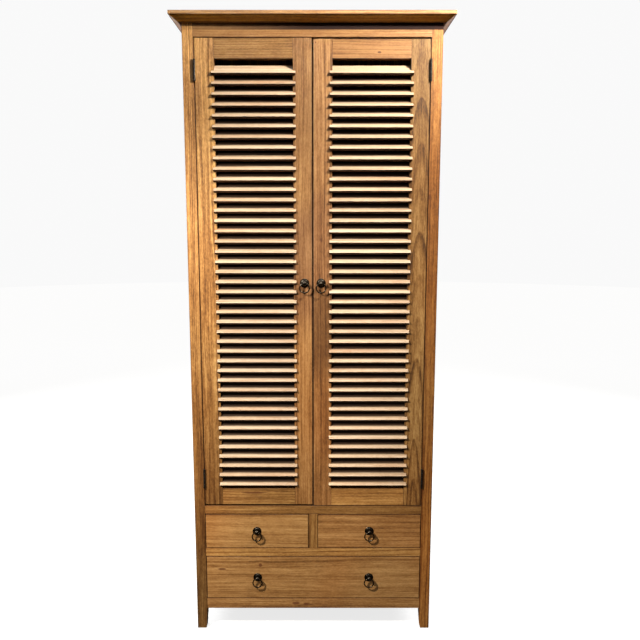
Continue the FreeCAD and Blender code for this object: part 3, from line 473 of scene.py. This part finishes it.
def deselect():
    if bpy.context.mode != "OBJECT":
        bpy.ops.object.mode_set(mode="OBJECT")
    bpy.ops.object.select_all(action="DESELECT")


def pick(piece):
    """Makes one piece the only one selected."""
    deselect()
    piece.select_set(True)
    bpy.context.view_layer.objects.active = piece


def rename(piece, name):
    piece.name = name
    piece.data.name = name


def start(add, name, **sizes):
    """A primitive on its own, named and open in edit mode with all of it selected."""
    deselect()
    add(**sizes)
    piece = bpy.context.object
    rename(piece, name)
    bpy.ops.object.mode_set(mode="EDIT")
    bpy.ops.mesh.select_all(action="SELECT")
    return piece


def settle(piece, smooth=None):
    """Closes a piece's seams, turns its faces outwards and moves its place into its mesh."""
    bpy.ops.object.mode_set(mode="EDIT")
    bpy.ops.mesh.select_all(action="SELECT")
    bpy.ops.mesh.remove_doubles(threshold=1e-6)
    bpy.ops.mesh.normals_make_consistent(inside=False)
    pick(piece)
    bpy.ops.object.transform_apply(location=True, rotation=True, scale=True)
    if smooth is not None:
        bpy.ops.object.shade_smooth_by_angle(angle=math.radians(smooth))
    return piece


TURNINGS = {
    "Z": ((0, 0, 0), Vector((0, 0, 1))),
    "-Y": ((math.pi / 2, 0, 0), Vector((0, -1, 0))),
    "X": ((0, math.pi / 2, 0), Vector((1, 0, 0))),
    "-X": ((0, -math.pi / 2, 0), Vector((-1, 0, 0))),
}


def turned(name, at, way, profile, sides, smooth=30):
    """A turned piece: a disc drawn out ring by ring through a profile of radii and heights."""
    rotation, axis = TURNINGS[way]
    radius, height = profile[0]
    disc = {"vertices": sides, "radius": radius, "fill_type": "NGON", "rotation": rotation}
    piece = start(bpy.ops.mesh.primitive_circle_add, name, location=Vector(at) + axis * height, **disc)
    for (before, low), (after, high) in zip(profile, profile[1:]):
        if high != low or after == before:
            move = {"value": axis * (high - low)}
            bpy.ops.mesh.extrude_region_move(TRANSFORM_OT_translate=move)
        else:
            bpy.ops.mesh.inset(thickness=0.0, depth=0.0)
        grow = after / before
        scale = [1 if part else grow for part in axis]
        bpy.ops.transform.resize(value=scale, center_override=Vector(at) + axis * high)
    return settle(piece, smooth)


def rod_profile(radius, low, high, inset, rise):
    """The profile of a short rod with both its ends chamfered."""
    return [(radius - inset, low), (radius, low + rise), (radius, high - rise), (radius - inset, high)]


def block(name, low, high, eased=0.0):
    """A block between two corners, its edges eased by a small chamfer."""
    low, high = Vector(low), Vector(high)
    piece = start(bpy.ops.mesh.primitive_cube_add, name, size=1, location=(low + high) / 2)
    bpy.ops.transform.resize(value=high - low)
    if eased:
        bpy.ops.mesh.bevel(offset=eased, segments=1, affect="EDGES")
    return settle(piece)


def copy_of(piece, name, move, half_turn=False):
    """A copy with a mesh of its own, first turned half round the Y axis if asked, then moved."""
    copy = piece.copy()
    copy.data = piece.data.copy()
    rename(copy, name)
    bpy.context.scene.collection.objects.link(copy)
    copy.location = move
    copy.rotation_euler.y = math.pi if half_turn else 0.0
    pick(copy)
    bpy.ops.object.transform_apply(location=True, rotation=True, scale=False)
    return copy


def joined(pieces, name):
    """Several pieces made one."""
    pick(pieces[0])
    for piece in pieces:
        piece.select_set(True)
    if len(pieces) > 1:
        bpy.ops.object.join()
    rename(pieces[0], name)
    return pieces[0]


def combine(piece, tool, how="DIFFERENCE"):
    """Cuts a piece with a tool, or unites the two, and clears the tool away."""
    pick(piece)
    cut = piece.modifiers.new("Cut", "BOOLEAN")
    cut.operation = how
    cut.solver = "EXACT"
    cut.object = tool
    bpy.ops.object.modifier_apply(modifier=cut.name)
    bpy.data.objects.remove(tool)


def ease_edges(node, width):
    """Rounds a wooden piece's edges a little, as sanding leaves them."""
    weld = node.modifiers.new("Weld", "WELD")
    weld.merge_threshold = 1e-6
    flat = node.modifiers.new("Flat faces", "DECIMATE")
    flat.decimate_type = "DISSOLVE"
    flat.angle_limit = math.radians(0.5)
    bevel = node.modifiers.new("Eased edges", "BEVEL")
    bevel.width = width
    bevel.segments = 2
    bevel.limit_method = "ANGLE"
    bevel.angle_limit = math.radians(35)
    bevel.use_clamp_overlap = False
    bevel.harden_normals = True


def place_of(node):
    """A node's middle and its three sides."""
    low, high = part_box(node)
    return (low + high) / 2, high - low


# Sizes and colours


def colour_setting(name, description, default):
    look = {"size": 3, "min": 0.0, "max": 1.0, "subtype": "COLOR"}
    return FloatVectorProperty(name=name, description=description, default=default, **look)


def length_setting(name, description, default):
    return FloatProperty(name=name, description=description, default=default, min=0.0, unit="LENGTH")


def power_setting(name, description, default):
    return FloatProperty(name=name, description=description, default=default, min=0.0, unit="POWER")


PULL_RADIUS = place_of("left_door_pull")[1].x / 2
WIRE_RADIUS = place_of("left_door_ring")[1].y / 2 + 0.0005


class CabinetTeak(bpy.types.PropertyGroup):
    """Colours and edges of the teak."""

    straw: colour_setting("Straw", "Palest early wood", (0.57, 0.330, 0.112))
    honey: colour_setting("Honey", "Main colour of the oiled wood", (0.385, 0.196, 0.057))
    umber: colour_setting("Umber", "Darker streaks", (0.250, 0.112, 0.027))
    dark: colour_setting("Dark", "Darkest late wood", (0.110, 0.045, 0.011))
    rust: colour_setting("Rust", "Reddish cast of some boards", (0.96, 0.80, 0.66))
    knot: colour_setting("Knot", "Heart of a knot", (0.125, 0.040, 0.012))
    grime: colour_setting("Grime", "Oil and dust along the joints", (0.45, 0.38, 0.32))
    # Painted shade: the cast of wood under the moulding and along the doors' gap
    painted_shade: colour_setting("Sheltered", "Cast of wood that light never reached", (0.04, 0.015, 0.005))
    end_grain: colour_setting("End grain", "Cast of the end grain", (0.62, 0.55, 0.48))
    eased: length_setting("Eased edges", "Rounding of the boards' edges", 0.0007)
    eased_front: length_setting("Eased fronts", "Rounding of the drawer fronts' edges", 0.0012)


class CabinetSlats(bpy.types.PropertyGroup):
    """Colours and edges of the louvre slats."""

    straw: colour_setting("Straw", "Palest early wood", (0.66, 0.515, 0.35))
    honey: colour_setting("Honey", "Main colour of the slats", (0.53, 0.385, 0.245))
    umber: colour_setting("Umber", "Darker streaks", (0.38, 0.24, 0.13))
    dark: colour_setting("Dark", "Darkest late wood", (0.20, 0.10, 0.04))
    rust: colour_setting("Rust", "Reddish cast of some slats", (1.0, 0.84, 0.72))
    knot: colour_setting("Knot", "Heart of a knot", (0.075, 0.030, 0.012))
    end_grain: colour_setting("End grain", "Cast of the end grain", (0.5, 0.4, 0.3))
    # Painted shade: the cast of the slats' down-facing faces
    painted_underside_shade: colour_setting("Undersides", "Cast of the darker undersides", (0.13, 0.058, 0.014))
    # Painted shadow: the cast of each slat's top face behind its lit front, where the slat above shades it
    painted_slat_shadow: colour_setting("Shaded part", "Cast where light never bleached", (0.06, 0.035, 0.015))
    eased: length_setting("Eased edges", "Rounding of the slats' edges", 0.0006)


class CabinetPulls(bpy.types.PropertyGroup):
    """Colours and sizes of the pulls and rings."""

    patina: colour_setting("Patina", "Dark antique bronze", (0.040, 0.034, 0.026))
    rubbed: colour_setting("Rubbed", "Bronze where hands have rubbed it", (0.24, 0.18, 0.11))
    rosette: length_setting("Rosette", "Radius of a pull's rosette", PULL_RADIUS)
    ball: length_setting("Ball", "Radius of a pull's ball", 0.0075)
    ball_reach: length_setting("Ball reach", "Ball's middle in front of the wood", 0.011)
    wire: length_setting("Wire", "Radius of a ring's wire", WIRE_RADIUS)


class CabinetHinges(bpy.types.PropertyGroup):
    """Colour and sizes of the butt hinges."""

    steel: colour_setting("Hinge metal", "Dull brown steel of the hinges", (0.075, 0.066, 0.056))
    height: length_setting("Height", "Height of a hinge", 0.064)
    leaf: length_setting("Leaf", "Thickness of a hinge leaf", 0.0018)
    barrel: length_setting("Barrel", "Radius of a hinge's knuckles", 0.0036)
    pin: length_setting("Pin", "Radius of a hinge pin", 0.0016)
    screw: length_setting("Screw", "Radius of a screw's head", 0.003)


class CabinetStudio(bpy.types.PropertyGroup):
    """The studio's floor, lamps and camera."""

    floor: length_setting("Floor", "Radius of the floor", 14.0)
    lens: FloatProperty(name="Lens", description="Focal length of the camera", default=37.35, unit="CAMERA")
    camera_height: length_setting("Camera height", "Height of the camera", 1.3485)
    left_lamp: power_setting("Left lamp", "Power of the left lamp", 370.0)
    right_lamp: power_setting("Right lamp", "Power of the right lamp", 215.0)
    window: power_setting("Window", "Power of the soft light above", 52.0)
    rear_lamps: power_setting("Rear lamps", "Power of each rear lamp", 110.0)


SETTINGS = {
    "cabinet_teak": CabinetTeak,
    "cabinet_slats": CabinetSlats,
    "cabinet_pulls": CabinetPulls,
    "cabinet_hinges": CabinetHinges,
    "cabinet_studio": CabinetStudio,
}


# How each board was sawn


BOARDS = {
    "left_front_post": Board(
        seed=1.3, low=0.58, middle=0.95, high=1.6, rings=0.005, figure=1.35, painted_shade=True
    ),
    "right_front_post": Board(
        seed=4.1, red=0.2, low=1.05, middle=0.85, high=1.05, figure=1.3, cast=(1.0, 0.88, 0.72),
        knots=((0.360, 1.434, 0.004, 0.009),), painted_shade=True
    ),
    "bottom_rail": Board(
        "X", 2.2, low=1.25, cast=(1.0, 1.02, 1.2),
        knots=((-0.058, 0.090, 0.005, 0.013), (-0.024, 0.087, 0.004, 0.008))
    ),
    "drawer_rail": Board("X", 6.4, tone=0.08, low=1.25),
    "mid_rail": Board("X", 9.7, tone=-0.04, low=0.92),
    "frieze_rail": Board(
        "X", 3.1, tone=0.12, figure=0.8, high=0.86, cast=(1.0, 0.93, 1.0), painted_shade=True
    ),
    "drawer_divider": Board(seed=7.9, tone=-0.08),
    # Painted light: the crown's cast brightens its sloping face, which gets little light
    "crown_front": Board("X", 5.5, tone=-0.1, figure=0.8, cast=(2.0, 2.05, 1.15)),
    "top_board": Board("X", 8.8, tone=0.15, high=1.03, cast=(1.0, 0.98, 1.15)),
    # Painted light: the side crowns' casts brighten them too
    "left_crown": Board("Y", 2.9, tone=-0.1, cast=(1.5, 1.2, 0.6)),
    "right_crown": Board("Y", 3.9, tone=-0.1, cast=(1.5, 1.2, 0.6)),
    # Painted shade: the cast darkens the back panel inside the cabinet
    "back_panel": Board(seed=41.1, cast=(0.6, 0.56, 0.5)),
    "left_door_hinge_stile": Board(
        seed=10.6, low=0.46, middle=1.0, high=1.4, figure=1.5, rings=0.006, pith=(-0.2, 0.1)
    ),
    "left_door_meeting_stile": Board(
        seed=11.8, low=1.0, middle=0.8, high=0.82, figure=1.1, red=0.1, rings=0.008, cast=(1.0, 0.97, 1.06),
        darker_stretches=((1.04, 1.40, (0.68, 0.62, 0.66)),)
    ),
    "left_door_top_rail": Board("X", 12.1, tone=-0.05, high=0.88),
    "left_door_bottom_rail": Board(
        "X", 13.6, tone=-0.04, low=0.95, middle=0.95, knots=((-0.192, 0.4795, 0.0032, 0.042),)
    ),
    "right_door_hinge_stile": Board(
        seed=14.9, red=0.08, low=0.9, middle=0.75, high=0.6, figure=1.4, rings=0.008,
        pith=(0.331, -0.176), lean=0.06
    ),
    "right_door_meeting_stile": Board(
        seed=15.2, red=0.1, low=1.08, middle=0.82, high=0.98, figure=1.15, cast=(1.0, 0.97, 1.12),
        knots=((0.026, 1.303, 0.003, 0.006), (0.009, 1.888, 0.002, 0.003)),
        darker_stretches=((0.89, 1.14, (0.50, 0.45, 0.40)), (1.14, 1.44, (0.80, 0.74, 0.78)))
    ),
    "right_door_top_rail": Board(
        "X", 16.4, tone=0.16, high=0.72, cast=(0.94, 0.8, 0.74), knots=((0.20, 1.86, 0.003, 0.006),)
    ),
    "right_door_bottom_rail": Board("X", 17.3, low=1.35, middle=1.35),
    "left_drawer_front": Board(
        "X", 18.5, tone=0.1, low=1.1, pith=(0.3, 0.2), figure=0.85, cast=(1.0, 1.0, 1.1)
    ),
    "right_drawer_front": Board(
        "X", 19.4, tone=-0.05, low=1.3, pith=(0.5, 0.15), figure=0.85, cast=(1.0, 1.0, 1.15)
    ),
    "large_drawer_front": Board(
        "X", 20.3, tone=-0.02, low=1.18, figure=0.85, cast=(1.0, 1.02, 1.18),
        knots=((-0.304, 0.212, 0.0042, 0.014), (-0.176, 0.226, 0.007, 0.006))
    ),
}
SLAT_BOARDS = {
    "left_door": Board("X", seed=31.0, low=0.97, middle=0.7, high=1.03, figure=0.6),
    "right_door": Board("X", seed=34.7, low=1.27, middle=0.88, high=0.92, figure=0.6),
}
# Nodes of several boards, whose grain doesn't follow the longest side of them all together
LENGTHWISE = {
    "back_rails": "X",
    "shelves": "X",
    "side_rails": "Y",
    "shelf_battens": "Y",
    "drawer_side_runners": "Y",
    "centre_runner": "Y",
    "left_drawer_sides": "Y",
    "right_drawer_sides": "Y",
    "large_drawer_sides": "Y",
}
SEED_STEP = 1.37


def board_of(name, number):
    """How a node's board is sawn: as listed, or with the grain along its longest side."""
    if name in BOARDS:
        return BOARDS[name]
    size = place_of(name)[1]
    longest = "XYZ"[max(range(3), key=lambda axis: size[axis])]
    return Board(LENGTHWISE.get(name, longest), seed=number * SEED_STEP)


# Operators


class CABINET_OT_stage(bpy.types.Operator):
    """Lay the pale floor, hang the lamps round the cabinet and set the camera before it."""

    bl_idname = "cabinet.stage"
    bl_label = "Floor, Lamps and Camera"
    bl_options = {"REGISTER", "UNDO"}

    FLOOR_CLOUDS = ((0.33, 0.33, 0.325, 1), (0.36, 0.36, 0.355, 1))
    FLOOR_FAR = (0.1, 0.1, 0.1, 1)
    SKY_LOW = (0.04, 0.03, 0.02, 1)
    SKY_HIGH = (0.34, 0.325, 0.30, 1)
    BACKDROP = (0.95, 0.95, 0.95, 1)
    LAMP_COLOUR = (1.0, 0.93, 0.83)
    LAMP_WIDTH = 0.035
    CAMERA_X, CAMERA_Y = 0.0227, -2.2687
    # In degrees: the camera looks down at the cabinet by 8.128
    CAMERA_TURN = (90 - 8.128, -0.016, 0.0075)

    def execute(self, context):
        scene = context.scene
        studio = scene.cabinet_studio
        self.lay_floor(studio)
        self.light_world(scene)
        self.hang_lamp("Left lamp", (-1.41, -1.42, 2.2), (-0.1, 0.5), 56, studio.left_lamp)
        self.hang_lamp("Right lamp", (0.95, -0.86, 2.45), (0.0, 1.7), 70, studio.right_lamp)
        window = self.hang_panel("Window", (0, -0.75, 3.2), (0, -0.5, 0.5), 0.9, studio.window)
        window.visible_diffuse = False
        for name, x in (("Left rear lamp", -2.4), ("Right rear lamp", 2.4)):
            self.hang_panel(name, (x, 2.0, 2.1), (0, 0, 1), 1.2, studio.rear_lamps)
        self.set_camera(scene, studio)
        scene.view_settings.view_transform = "Standard"
        return {"FINISHED"}

    def lay_floor(self, studio):
        add = bpy.ops.mesh.primitive_circle_add
        floor = start(add, "floor", vertices=96, radius=studio.floor, fill_type="NGON")
        bpy.ops.mesh.inset(thickness=studio.floor * 0.7)
        settle(floor)
        material, shader, surface = new_finish("Pale floor")
        place = shader.place()
        cloud = shader.noise(place, scale=1.5, detail=3.0)
        away = shader.add("ShaderNodeVectorMath", {"operation": "LENGTH"}, {0: place}, output="Value")
        far = shader.step(away, 1.0, 5.0)
        near_colour = shader.mix(cloud, *self.FLOOR_CLOUDS)
        shader.feed(surface.inputs["Base Color"], shader.mix(far, near_colour, self.FLOOR_FAR))
        glow = far * 0.14 + 0.78
        shader.feed(surface.inputs["Emission Color"], shader.join(glow, glow, glow))
        surface.inputs["Emission Strength"].default_value = 1.0
        surface.inputs["Roughness"].default_value = 0.8
        dress(floor, material)
        floor.visible_diffuse = False
        floor.visible_glossy = False

    def light_world(self, scene):
        """A pale backdrop, which lights the cabinet as a dimmer, warmer sky."""
        world = bpy.data.worlds.new("Studio")
        scene.world = world
        shader = Shader(world)
        seen = shader.add("ShaderNodeLightPath", output="Is Camera Ray")
        direction = shader.add("ShaderNodeTexCoord", output="Generated")
        high = shader.step(shader.split(direction)[2], -0.15, 0.35)
        sky = shader.mix(high, self.SKY_LOW, self.SKY_HIGH)
        colour = shader.mix(seen, sky, self.BACKDROP)
        shader.feed(shader.tree.nodes["Background"].inputs["Color"], colour)

    def hang_lamp(self, name, place, aim, spread, power):
        """A spot lamp aimed at a point of the cabinet's face."""
        light = bpy.data.lights.new(name, "SPOT")
        light.shadow_soft_size = self.LAMP_WIDTH
        light.spot_size = math.radians(spread)
        light.spot_blend = 0.9
        light.energy = power
        light.color = self.LAMP_COLOUR
        return self.put_lamp(light, place, (aim[0], FACE_Y, aim[1]))

    def hang_panel(self, name, place, aim, size, power):
        """A wide soft lamp."""
        light = bpy.data.lights.new(name, "AREA")
        light.size = size
        light.energy = power
        return self.put_lamp(light, place, aim)

    def put_lamp(self, light, place, aim):
        lamp = bpy.data.objects.new(light.name, light)
        bpy.context.scene.collection.objects.link(lamp)
        lamp.location = place
        lamp.rotation_euler = (Vector(aim) - lamp.location).to_track_quat("-Z", "Y").to_euler()
        return lamp

    def set_camera(self, scene, studio):
        camera = bpy.data.cameras.new("Camera")
        camera.lens = studio.lens
        camera.sensor_width = 36.0
        camera.clip_end = 100.0
        holder = bpy.data.objects.new("Camera", camera)
        scene.collection.objects.link(holder)
        holder.location = (self.CAMERA_X, self.CAMERA_Y, studio.camera_height)
        holder.rotation_euler = [math.radians(turn) for turn in self.CAMERA_TURN]
        scene.camera = holder


class CABINET_OT_boards(bpy.types.Operator):
    """Finish every board of the carcass, doors and drawers in oiled teak."""

    bl_idname = "cabinet.boards"
    bl_label = "Boards"
    bl_options = {"REGISTER", "UNDO"}

    def execute(self, context):
        look = context.scene.cabinet_teak
        for number, (name, node) in enumerate(sorted(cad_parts.items())):
            if name.endswith(METALWORK + ("louvres",)):
                continue
            dress(node, teak("Teak " + name, board_of(name, number), look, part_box(name)))
            # A bevel would push the back rails' faces out of their place
            if name != "back_rails":
                ease_edges(node, look.eased_front if name.endswith("drawer_front") else look.eased)
        return {"FINISHED"}


class CABINET_OT_louvres(bpy.types.Operator):
    """Finish the louvre slats, each cut from its own stretch of wood."""

    bl_idname = "cabinet.louvres"
    bl_label = "Louvres"
    bl_options = {"REGISTER", "UNDO"}

    def execute(self, context):
        look = context.scene.cabinet_slats
        for door in DOORS:
            name = door + "_louvres"
            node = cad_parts[name]
            dress(node, teak("Slats " + door, SLAT_BOARDS[door], look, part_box(name), slats=True))
            ease_edges(node, look.eased)
        return {"FINISHED"}


class CABINET_OT_hinges(bpy.types.Operator):
    """Fold the hinge leaves round their pins and sink their slotted screws."""

    bl_idname = "cabinet.hinges"
    bl_label = "Hinges"
    bl_options = {"REGISTER", "UNDO"}

    KNUCKLES = 5
    FRAME_KNUCKLES = (0, 2, 4)
    DOOR_KNUCKLES = (1, 3)
    CAD_BARREL_SIDES = 12
    PLAY = 0.0003
    HALF_GAP = 0.001
    BEHIND_BARREL = 0.00035
    TAB_LAP = 0.0005
    EASED = 0.0001
    KNUCKLE_EASED = 0.0003
    PIN_PLAY = 0.0001
    PIN_OVERSHOOT = 0.001
    SCREW_TURNS = (20, 70, 120)
    STAGGER = 0.0025
    SLOT = (0.0011, 0.0007, 0.008)

    def execute(self, context):
        metal = context.scene.cabinet_hinges
        finish = hinge_steel("Hinge steel", metal)
        low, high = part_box("frame_hinge_leaves")
        # The frame's barrels have flats, so their box starts nearer to the pin than the radius
        flat = metal.barrel * math.cos(math.pi / self.CAD_BARREL_SIDES)
        self.axis = Vector((low.x + flat, low.y + flat, low.z))
        self.back = high.y
        lift = high.z - low.z - metal.height
        frame_leaf = self.fold_leaf(metal, "frame_leaf", -1, self.FRAME_KNUCKLES)
        door_leaf = self.fold_leaf(metal, "door_leaf", 1, self.DOOR_KNUCKLES)
        # The right hinges are the left ones turned half round, so their feet are where heads were
        over = 2 * low.z + metal.height
        rows = (
            ("frame_hinges", "frame_hinge_leaves", "carcass", frame_leaf, (False, True)),
            ("left_door_hinges", "left_door_hinge_leaves", "left_door", door_leaf, (False,)),
            ("right_door_hinges", "right_door_hinge_leaves", "right_door", door_leaf, (True,)),
        )
        for name, node, body, leaf, sides in rows:
            leaves = []
            for half_turn in sides:
                foot = over if half_turn else 0.0
                leaves += [copy_of(leaf, name, (0, 0, foot + rise), half_turn) for rise in (0.0, lift)]
            hinges = joined(leaves, name)
            dress(hinges, finish)
            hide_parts(node)
            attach(hinges, body)
        for leaf in (frame_leaf, door_leaf):
            bpy.data.objects.remove(leaf)
        return {"FINISHED"}

    def fold_leaf(self, metal, name, side, knuckles):
        """The lower left hinge's leaf on one side of the gap, with its knuckles and screws."""
        axis = self.axis
        face, rear = axis.x + side * self.HALF_GAP, axis.x + side * (self.HALF_GAP + metal.leaf)
        left, right = min(face, rear), max(face, rear)
        front = axis.y + metal.barrel + self.BEHIND_BARREL
        head = axis.z + metal.height
        leaf = block(name, (left, front, axis.z), (right, self.back, head), self.EASED)
        for number in knuckles:
            self.roll_knuckle(leaf, metal, number, left, right, front)
        for_frame = side < 0
        play, reach = (0.0, 0.0) if for_frame else (self.PIN_PLAY, self.PIN_OVERSHOOT)
        radius = metal.pin + play
        pin = turned("pin", axis, "Z", [(radius, -reach), (radius, metal.height + reach)], sides=24)
        combine(leaf, pin, "UNION" if for_frame else "DIFFERENCE")
        way = "X" if for_frame else "-X"
        screws = []
        for number, turn in enumerate(self.SCREW_TURNS):
            y = (front + self.back) / 2 + (self.STAGGER if number == 1 else -self.STAGGER)
            middle = Vector((face, y, axis.z + metal.height * (number + 0.5) / len(self.SCREW_TURNS)))
            sink = [(metal.screw * 0.5, -metal.leaf * 1.2), (metal.screw + 0.0004, 0.0001)]
            combine(leaf, turned("sink", middle, way, sink, sides=32))
            screws.append(self.drive_screw(metal, middle, way, turn))
        return settle(joined([leaf] + screws, name), smooth=30)

    def roll_knuckle(self, leaf, metal, number, left, right, front):
        """One knuckle round the pin, and the tab that joins it to its leaf."""
        axis = self.axis
        pitch = metal.height / self.KNUCKLES
        foot = number * pitch + (self.PLAY / 2 if number else 0.0)
        head = (number + 1) * pitch - (self.PLAY / 2 if number < self.KNUCKLES - 1 else 0.0)
        low, high = (left, axis.y, axis.z + foot), (right, front + self.TAB_LAP, axis.z + head)
        combine(leaf, block("tab", low, high), "UNION")
        profile = rod_profile(metal.barrel, foot, head, self.KNUCKLE_EASED, self.KNUCKLE_EASED)
        combine(leaf, turned("knuckle", axis, "Z", profile, sides=40), "UNION")

    def drive_screw(self, metal, middle, way, turn):
        """A countersunk screw head flush with the leaf, its slot turned as it came to rest."""
        head = metal.screw
        profile = [(head * 0.5, -metal.leaf * 0.95), (head, -0.0003), (head, -0.0001), (head - 0.0002, 0.0)]
        screw = turned("screw", middle, way, profile, sides=32)
        add = bpy.ops.mesh.primitive_cube_add
        slot = start(add, "slot", size=1, location=middle, rotation=(math.radians(turn), 0, 0))
        bpy.ops.transform.resize(value=self.SLOT, orient_type="LOCAL")
        combine(screw, settle(slot))
        return screw


class CABINET_OT_pulls(bpy.types.Operator):
    """Turn the six domed pulls with their pierced balls, studs and nuts."""

    bl_idname = "cabinet.pulls"
    bl_label = "Pulls"
    bl_options = {"REGISTER", "UNDO"}

    SIDES = 48
    DOME_FOOT, DOME_RISE, DOME_STEPS = 0.0018, 0.0026, 8
    NECK = 0.0036
    BALL_START, BALL_END, BALL_STEPS = 32, 4, 16
    HOLE_PLAY, HOLE_FLARE, HOLE_STEPS, HOLE_OVERSHOOT = 0.0003, 0.0022, 6, 0.001
    STUD, STUD_POINT, STUD_LAP = 0.002, 0.0004, 0.0003
    NUT, NUT_HEIGHT, NUT_DEPTH = 0.004, 0.003, 0.001

    def execute(self, context):
        bronze = context.scene.cabinet_pulls
        finish = aged_bronze("Aged bronze pull", bronze)
        for group in DOORS + DRAWERS:
            node = group + ("_pulls" if group == "large_drawer" else "_pull")
            low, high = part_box(node)
            middle = (low + high) / 2
            places = [middle.x]
            if group == "large_drawer":
                places = [low.x + bronze.rosette, high.x - bronze.rosette]
            made = [self.turn_pull(group, bronze, Vector((x, FACE_Y, middle.z)), high.y) for x in places]
            pull = joined(made, group + "_turned_pull")
            dress(pull, finish)
            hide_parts(node)
            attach(pull, group)
        return {"FINISHED"}

    def turn_pull(self, name, bronze, at, stud_end):
        """A knob, its ring hole, and the stud and nut that hold it behind the wood."""
        knob = turned(name + "_knob", at, "-Y", self.knob_profile(bronze), self.SIDES)
        combine(knob, self.ring_hole(bronze, at))
        tip = FACE_Y - stud_end
        stud_profile = [(self.STUD - self.STUD_POINT, tip), (self.STUD, tip + self.STUD_POINT)]
        stud_profile.append((self.STUD, -self.STUD_LAP))
        stud = turned(name + "_stud", at, "-Y", stud_profile, sides=16)
        nut_foot = tip + self.NUT_DEPTH
        nut_profile = rod_profile(self.NUT, nut_foot, nut_foot + self.NUT_HEIGHT, 0.0006, 0.0005)
        nut = turned(name + "_nut", at, "-Y", nut_profile, sides=6)
        return joined([knob, stud, nut], name)

    def knob_profile(self, bronze):
        """Rim, swept dome, neck and ball, as radii and heights from the wood."""
        rim = bronze.rosette
        dome_start = rim - 0.0032
        corners = [(rim - 0.0003, 0.0), (rim, 0.0003), (rim, 0.0009), (rim - 0.0004, 0.0013)]
        corners += [(rim - 0.0016, 0.0016), (rim - 0.0024, 0.0015), (dome_start, self.DOME_FOOT)]
        for step in range(1, self.DOME_STEPS + 1):
            turn = step / self.DOME_STEPS * math.pi / 2
            radius = self.NECK + (dome_start - self.NECK) * math.cos(turn)
            corners.append((radius, self.DOME_FOOT + self.DOME_RISE * math.sin(turn)))
        for step in range(self.BALL_STEPS):
            sweep = 180 - self.BALL_START - self.BALL_END
            turn = math.radians(self.BALL_START + sweep * step / (self.BALL_STEPS - 1))
            corners.append((bronze.ball * math.sin(turn), bronze.ball_reach - bronze.ball * math.cos(turn)))
        return corners

    def ring_hole(self, bronze, at):
        """The hole through the ball, flared to both mouths for the bend of the ring."""
        reach = bronze.ball + self.HOLE_OVERSHOOT
        narrowest = bronze.wire + self.HOLE_PLAY
        outs = [step / self.HOLE_STEPS for step in range(-self.HOLE_STEPS, self.HOLE_STEPS + 1)]
        corners = [(narrowest + self.HOLE_FLARE * out * out, out * reach) for out in outs]
        middle = at + Vector((0, -bronze.ball_reach, 0))
        return turned("ring_hole", middle, "X", corners, sides=24)


class CABINET_OT_rings(bpy.types.Operator):
    """Bend the six rings that hang in the pulls."""

    bl_idname = "cabinet.rings"
    bl_label = "Rings"
    bl_options = {"REGISTER", "UNDO"}

    STEPS = 72
    WIRE_SIDES = 14

    def execute(self, context):
        bronze = context.scene.cabinet_pulls
        finish = aged_bronze("Aged bronze ring", bronze)
        nodes = sorted(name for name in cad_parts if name.endswith("_ring"))
        first, size = place_of(nodes[0])
        ring = model = self.bend(bronze, nodes[0] + "_wire", first, size)
        for node in nodes:
            if node != nodes[0]:
                ring = copy_of(model, node + "_wire", place_of(node)[0] - first)
            dress(ring, finish)
            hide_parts(node)
            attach(ring, node + "_body")
        return {"FINISHED"}

    def bend(self, bronze, name, middle, size):
        """A round wire spun round the ring's middle."""
        at = middle + Vector(((size.x - size.y) / 2, 0, 0))
        wire = {"vertices": self.WIRE_SIDES, "radius": bronze.wire, "location": at}
        ring = start(bpy.ops.mesh.primitive_circle_add, name, **wire)
        bpy.ops.mesh.spin(steps=self.STEPS, angle=2 * math.pi, center=middle, axis=(0, 1, 0))
        return settle(ring, smooth=60)


OPERATORS = (
    CABINET_OT_stage,
    CABINET_OT_boards,
    CABINET_OT_louvres,
    CABINET_OT_hinges,
    CABINET_OT_pulls,
    CABINET_OT_rings,
)


class CABINET_PT_pieces(bpy.types.Panel):
    """The cabinet's pieces, in the order in which they are made."""

    bl_label = "Louvred Cabinet"
    bl_idname = "CABINET_PT_pieces"
    bl_space_type = "VIEW_3D"
    bl_region_type = "UI"
    bl_category = "Cabinet"

    def draw(self, context):
        for operator in OPERATORS:
            self.layout.operator(operator.bl_idname)


def register():
    for name, group in SETTINGS.items():
        bpy.utils.register_class(group)
        setattr(bpy.types.Scene, name, PointerProperty(type=group))
    for item in OPERATORS + (CABINET_PT_pieces,):
        bpy.utils.register_class(item)


def unregister():
    for item in reversed(OPERATORS + (CABINET_PT_pieces,)):
        bpy.utils.unregister_class(item)
    for name, group in SETTINGS.items():
        delattr(bpy.types.Scene, name)
        bpy.utils.unregister_class(group)


def main():
    register()
    for operator in OPERATORS:
        group, name = operator.bl_idname.split(".")
        getattr(getattr(bpy.ops, group), name)()


if __name__ == "__main__":
    main()
